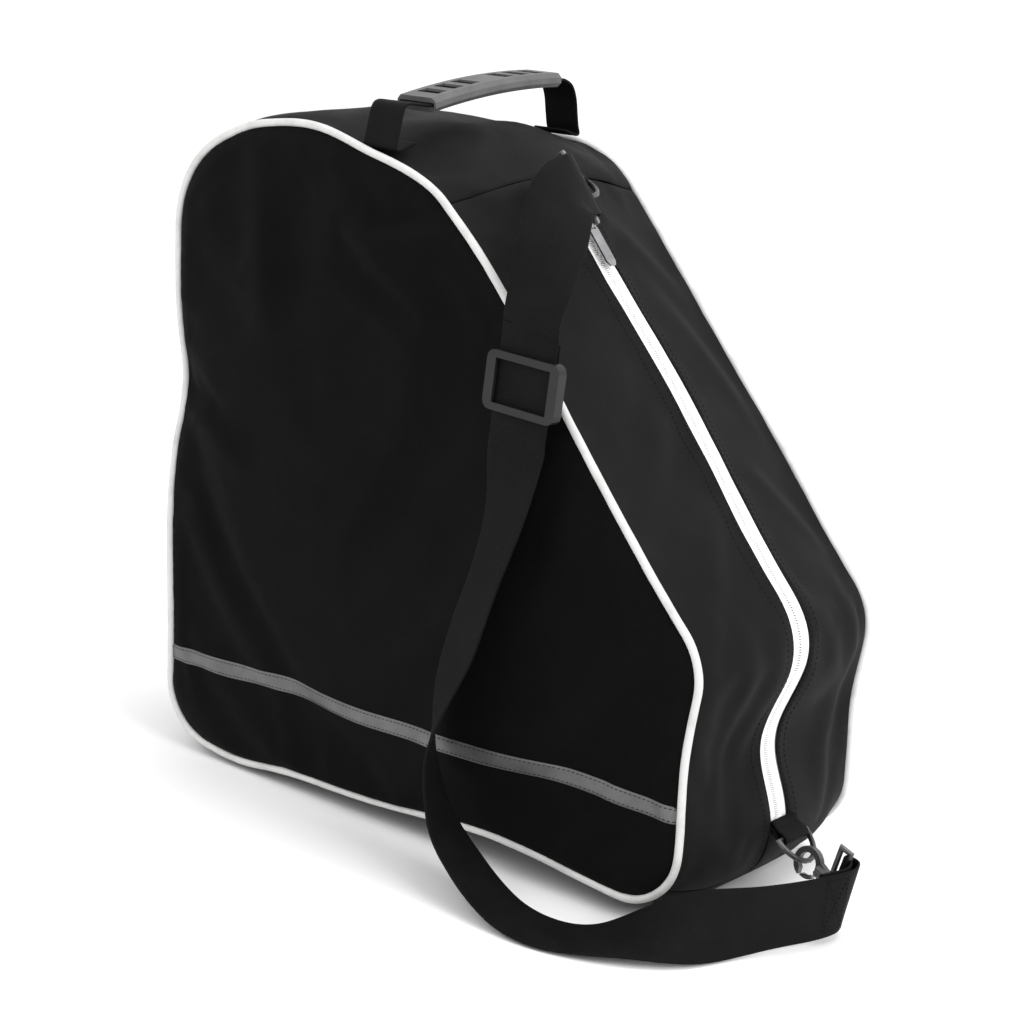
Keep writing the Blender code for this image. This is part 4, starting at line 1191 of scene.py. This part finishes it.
def tab(name, root, direction, node):
    """A webbing loop round the bar of a D-ring, its two ends sewn into the seam."""
    bar = root + direction * TAB_LENGTH
    width = Vector((0, 1, 0))
    normal = direction.cross(width)
    upper = [
        (root - direction * 0.0030 + normal * LAYERS / 2, width, normal),
        (root + direction * 0.0022 + normal * LAYERS / 2, width, normal),
        (root + direction * 0.0042 + normal * (LAYERS / 2 + 0.0004), width, normal),
        (bar - direction * 0.0030 + normal * (FOLD / 2 - 0.0005), width, normal),
        (bar - direction * 0.0012 + normal * (FOLD / 2), width, normal),
        (bar + normal * FOLD / 2, width, normal),
    ]
    lower = [(p - 2 * (p - root).dot(normal) * normal, width, -n) for p, width, n in reversed(upper)]
    sense = facing_turn(width, normal, direction)
    turn = [(p, width, n) for p, _, n in half_turn(bar, sense, normal * FOLD / 2, 12)]
    loop = ribbon(name, upper + turn + lower, TAB_HALF)
    finish_piece(loop, M_WEB, "bag", "black_webbing", node)
    middle = root + direction * 0.0024 + normal * (LAYERS / 2 + WEBBING / 2)
    row = np.array([tuple(middle + width * y) for y in np.linspace(-0.0095, 0.0095, 8)])
    line = (row, np.tile(tuple(normal), (8, 1)))
    sewn = stitches(name + "_stitches", [line], 0.0026, 0.0019, 0.00025, (0, 1))
    finish_piece(sewn, M_THREAD, "bag", "black_webbing")


(top_x, top_z), _ = at_length(TOP_SEAM)
(toe_x, toe_z), _ = at_length(MARKS[(1, "end")])
UPPER_ROOT = Vector((top_x, 0, top_z)) + Vector((0.7528, 0, 0.6583)) * (CROWN + 0.0026)  # square to the slope
LOWER_ROOT = Vector((toe_x + CROWN, 0, toe_z))
tab("tab_loop_upper", UPPER_ROOT, UPPER_RING_DIRECTION, "ring_tab_upper")
tab("tab_loop_lower", LOWER_ROOT, LOWER_RING_DIRECTION, "ring_tab_lower")

# ---------------------------------------------------------------- shoulder strap

STRAP_HALF = 0.019
GLIDE = Vector((0.085, -0.106, 0.2825))
GLIDE_DOWN = Vector((-0.05, 0, -1)).normalized()
GLIDE_WIDTH = Vector((1, 0, -0.05)).normalized()
STRAIGHT = 0.027  # length of strap that is straight on each side of the tri-glide
EYE_STRAIGHT = 0.005
LAYERS_APART = 0.0030
DOUBLED_END = 0.040
EYE_REACH = 0.024  # from a hook's swivel to the bar of its eye
JOINTS = {joint["name"]: joint for joint in frame["joints"]}


def hook_of(swivel):
    """The way a snap hook points, and the middle of its eye's bar, from its swivel."""
    direction = Vector(JOINTS[swivel]["axis"]).normalized()
    return direction, Vector(JOINTS[swivel]["pos_m"]) + direction * EYE_REACH


UPPER_HOOK, UPPER_EYE = hook_of("hook_upper_swivel")
LOWER_HOOK, LOWER_EYE = hook_of("hook_lower_swivel")
UPPER_BAR = Vector((0.50, 0.22, -0.84))
LOWER_BAR = Vector((-0.22, 0, -0.97))
# The strap's route between the hooks and the tri-glide: (point, way across) keys, from the top down.
ABOVE = (
    (Vector((0.0653, -0.0433, 0.3872)), Vector((0.54, 0.24, -0.80))),
    (Vector((0.0692, -0.0640, 0.3820)), Vector((0.70, 0.22, -0.67))),
    (Vector((0.0800, -0.0860, 0.3560)), Vector((0.90, 0.14, -0.40))),
)
BELOW = (
    (Vector((0.0820, -0.110, 0.212)), Vector((0.95, -0.30, -0.10))),
    (Vector((0.0755, -0.113, 0.176)), Vector((0.90, -0.42, -0.10))),
    (Vector((0.0660, -0.116, 0.140)), Vector((0.84, -0.53, -0.08))),
    (Vector((0.0555, -0.119, 0.104)), Vector((0.74, -0.67, 0.00))),
    (Vector((0.0555, -0.123, 0.070)), Vector((0.50, -0.86, 0.06))),
    (Vector((0.0710, -0.128, 0.0385)), Vector((0.38, -0.92, 0.10))),
    (Vector((0.0960, -0.134, 0.0180)), Vector((0.34, -0.94, 0.06))),
    (Vector((0.1250, -0.139, 0.0055)), Vector((0.25, -0.97, 0.03))),
    (Vector((0.1530, -0.140, 0.0024)), Vector((0.35, -0.94, 0.00))),
    (Vector((0.1780, -0.133, 0.0042)), Vector((0.42, -0.90, -0.08))),
    (Vector((0.2030, -0.119, 0.0105)), Vector((0.36, -0.82, -0.44))),
    (Vector((0.2270, -0.099, 0.0175)), Vector((0.18, -0.50, -0.85))),
    (Vector((0.2470, -0.072, 0.0205)), Vector((0, -0.08, -1))),
    (Vector((0.2600, -0.043, 0.0215)), Vector((-0.03, 0, -1))),
    (Vector((0.2675, -0.0195, 0.0228)), Vector((-0.12, 0, -0.99))),
)


def square_to(along, across):
    along = along.normalized()
    return (across - across.dot(along) * along).normalized()


def layer_gap(distance):
    """Between the middles of the strap's two layers, this far from the eye."""
    return FOLD + (LAYERS_APART - FOLD) * min(1, distance / 0.020)


upper_width = square_to(UPPER_HOOK, UPPER_BAR)
lower_width = square_to(-LOWER_HOOK, LOWER_BAR)
upper_up = UPPER_HOOK.cross(upper_width)
lower_up = (-LOWER_HOOK).cross(lower_width)
half_straight = GLIDE_DOWN * STRAIGHT
keys = [
    (UPPER_EYE + upper_up * FOLD / 2, upper_width),
    (UPPER_EYE + upper_up * FOLD / 2 + UPPER_HOOK * EYE_STRAIGHT, upper_width),
    *ABOVE,
    (GLIDE - half_straight * 1.4, GLIDE_WIDTH),
    (GLIDE - half_straight, GLIDE_WIDTH),
    (GLIDE, GLIDE_WIDTH),
    (GLIDE + half_straight, GLIDE_WIDTH),
    (GLIDE + half_straight * 1.4, GLIDE_WIDTH),
    *BELOW,
    (LOWER_EYE - lower_up * FOLD / 2 + LOWER_HOOK * EYE_STRAIGHT, lower_width),
    (LOWER_EYE - lower_up * FOLD / 2, lower_width),
]
route = spline(keys, 0.0035)
frames = frames_of(route)
lengths = np.concatenate(((0,), np.cumsum([(b[0] - a[0]).length for a, b in zip(frames, frames[1:])])))
total = lengths[-1]
glide_at = lengths[min(range(len(frames)), key=lambda i: (frames[i][0] - GLIDE).length)]
rows = []
for (point, tangent, width, normal), s in zip(frames, lengths):
    calm = smooth_step(s, 0.03, 0.06) * (1 - smooth_step(s, total - 0.06, total - 0.03))
    calm *= smooth_step(abs(s - glide_at), 0.035, 0.07)
    twist = math.radians(4) * calm * math.sin(s * 31 + 0.7) + math.radians(2) * calm * math.sin(s * 77)
    turn = Matrix.Rotation(twist, 3, tangent)
    wave = normal * float(calm) * 0.0006 * math.sin(s * 52)
    rows.append((point + wave, tangent, turn @ width, turn @ normal))
front = [(p, w, n) for p, _, w, n in rows]
stop = (GLIDE - frames[0][0]).length - 0.048
upper_layer = []
lower_layer = []
for (point, _, width, normal), s in zip(rows, lengths):
    if s < stop:
        upper_layer.append((point - normal * layer_gap(s), width, -normal))
    if total - s < DOUBLED_END:
        lower_layer.append((point + normal * layer_gap(total - s), width, -normal))
_, first_tangent, width, normal = frames[0]
_, last_tangent, end_width, end_normal = frames[-1]
upper_sense = facing_turn(width, -normal, -first_tangent)
lower_sense = facing_turn(end_width, -end_normal, last_tangent)
upper_turn = [(p, width, n) for p, _, n in half_turn(UPPER_EYE, upper_sense, -normal * FOLD / 2, 12)]
lower_turn = [(p, end_width, -n) for p, _, n in half_turn(LOWER_EYE, lower_sense, -end_normal * FOLD / 2, 12)]
strip_rows = [*reversed(upper_layer), *upper_turn, *front, *lower_turn, *reversed(lower_layer)]
strap = ribbon("strap_ribbon", strip_rows, STRAP_HALF, columns=11)
finish_piece(strap, M_WEB, "shoulder_strap", "black_webbing", "strap_webbing")


def on_strap(s, across, side):
    """A point and the way out on one face of the doubled lower end, s from the strap's start."""
    i = int(np.clip(np.searchsorted(lengths, s), 1, len(rows) - 1))
    share = (s - lengths[i - 1]) / (lengths[i] - lengths[i - 1])
    point, width, normal = (rows[i - 1][k].lerp(rows[i][k], float(share)) for k in (0, 2, 3))
    lift = -WEBBING / 2 if side < 0 else layer_gap(total - s) + WEBBING / 2
    return tuple(point + width * across + normal * lift), tuple(normal * side)


# A box of stitches with a cross in it holds the doubled lower end.
near, far, box_half = total - 0.034, total - 0.020, 0.0155
corners = ((near, -box_half), (far, -box_half), (far, box_half), (near, box_half))
pairs = [(corners[i], corners[(i + 1) % 4]) for i in range(4)]
pairs += [(corners[0], corners[2]), (corners[1], corners[3])]
lines = []
for side in (-1, 1):
    for (s_a, y_a), (s_b, y_b) in pairs:
        spots = [on_strap(s_a + (s_b - s_a) * k / 8, y_a + (y_b - y_a) * k / 8, side) for k in range(9)]
        lines.append((np.array([spot for spot, _ in spots]), np.array([out for _, out in spots])))
sewn = stitches("strap_stitches", lines, 0.0028, 0.0020, 0.00026, (0, 2))
finish_piece(sewn, M_THREAD, "shoulder_strap", "black_webbing")

# The webbing sewn round the tri-glide's middle bar: (distance down the strap, depth behind it).
LOOP_PROFILE = (
    (-0.0262, 0.0032), (-0.020, 0.0033), (-0.014, 0.0034), (-0.010, 0.0037), (-0.006, 0.0040),
    (-0.003, 0.0044), (0.0, 0.0046), (0.0025, 0.0046), (0.0045, 0.0044),
)
back = Vector((0, 1, 0))
loop_rows = [(GLIDE + GLIDE_DOWN * along + back * depth, GLIDE_WIDTH, back) for along, depth in LOOP_PROFILE]
loop = ribbon("glide_loop", loop_rows, STRAP_HALF - 0.0006)
finish_piece(loop, M_WEB, "strap_adjuster", "black_webbing", "strap_bar_loop")

# ---------------------------------------------------------------- camera, lights, floor


def look(location, target):
    return (Vector(target) - Vector(location)).to_track_quat("-Z", "Y")


def make_stage():
    mesh = bpy.data.meshes.new("floor")
    mesh.from_pydata([(-6, -6, 0), (6, -6, 0), (6, 6, 0), (-6, 6, 0)], [], [(0, 1, 2, 3)])
    floor = bpy.data.objects.new("floor", mesh)
    floor.location.z = -0.0004
    bpy.context.scene.collection.objects.link(floor)
    s = Shader("floor_pale")
    tone = s.ramp(s.noise(s.place(), 3, 2, 0.5), (0.2, grey(0.895)), (0.8, grey(0.91)))
    s.link(tone, s.out.inputs["Base Color"])
    s.put("Roughness", 0.75)
    mesh.materials.append(s.material)
    world = bpy.data.worlds.new("studio")
    bpy.context.scene.world = world
    world.use_nodes = True
    world.node_tree.nodes["Background"].inputs[0].default_value = (1, 1, 1, 1)
    world.node_tree.nodes["Background"].inputs[1].default_value = 1.12
    view = bpy.context.scene.view_settings
    view.view_transform = "Standard"
    view.look = "None"
    for name, place, size, power in (
        ("key", (-0.9, -1.5, 1.9), 1.2, 12),
        ("toe", (1.9, -0.3, 1.3), 1.2, 24),
        ("top", (0.3, 0.4, 2.2), 1.2, 16),
    ):
        lamp = bpy.data.lights.new(name, "AREA")
        lamp.size = size
        lamp.energy = power
        obj = bpy.data.objects.new(name, lamp)
        obj.location = place
        obj.rotation_mode = "QUATERNION"
        obj.rotation_quaternion = look(place, (0, 0, 0.2))
        bpy.context.scene.collection.objects.link(obj)


CAMERA_ANGLES = (37.25, 13.4, 5.0)  # azimuth, elevation and roll, in degrees
CAMERA_TARGET = Vector((0.038, -0.045, 0.195))
CAMERA_DISTANCE = 1.25


def make_camera():
    azimuth, elevation, roll = (math.radians(a) for a in CAMERA_ANGLES)
    back = Vector((
        math.sin(azimuth) * math.cos(elevation), -math.cos(azimuth) * math.cos(elevation), math.sin(elevation)
    ))
    camera = bpy.data.cameras.new("camera")
    camera.sensor_width = 36
    camera.lens = 76
    obj = bpy.data.objects.new("camera", camera)
    obj.location = CAMERA_TARGET + back * CAMERA_DISTANCE
    obj.rotation_mode = "QUATERNION"
    turn = (-back).to_track_quat("-Z", "Y")
    obj.rotation_quaternion = turn @ Matrix.Rotation(roll, 4, "Z").to_quaternion()
    bpy.context.scene.collection.objects.link(obj)
    bpy.context.scene.camera = obj


make_stage()
make_camera()

for NAME, MATERIAL, WIDTH in (
    ("base_board", M_BOARD, 0.0005),
    ("zipper_slider", M_STEEL, 0.0003), ("zipper_pull", M_STEEL, 0.0002),
    ("handle_grip", M_GRIP, 0.0008),
    ("d_ring_upper", M_BLACK_METAL, 0.0004), ("d_ring_lower", M_BLACK_METAL, 0.0004),
    ("snap_hook_upper", M_BLACK_METAL, 0.0005), ("snap_hook_lower", M_BLACK_METAL, 0.0005),
    ("hook_gate_upper", M_STEEL, 0.0003), ("hook_gate_lower", M_STEEL, 0.0003),
    ("hook_eye_upper", M_BLACK_METAL, 0.0004), ("hook_eye_lower", M_BLACK_METAL, 0.0004),
    ("tri_glide", M_PLASTIC, 0.0008),
):
    node = NODES[NAME]
    node.data.materials.clear()
    node.data.materials.append(MATERIAL)
    edges = node.modifiers.new("soft edges", "BEVEL")
    edges.width = WIDTH
    edges.segments = 3
    edges.limit_method = "ANGLE"
    edges.angle_limit = math.radians(32)
    edges.harden_normals = False

bpy.context.view_layer.update()
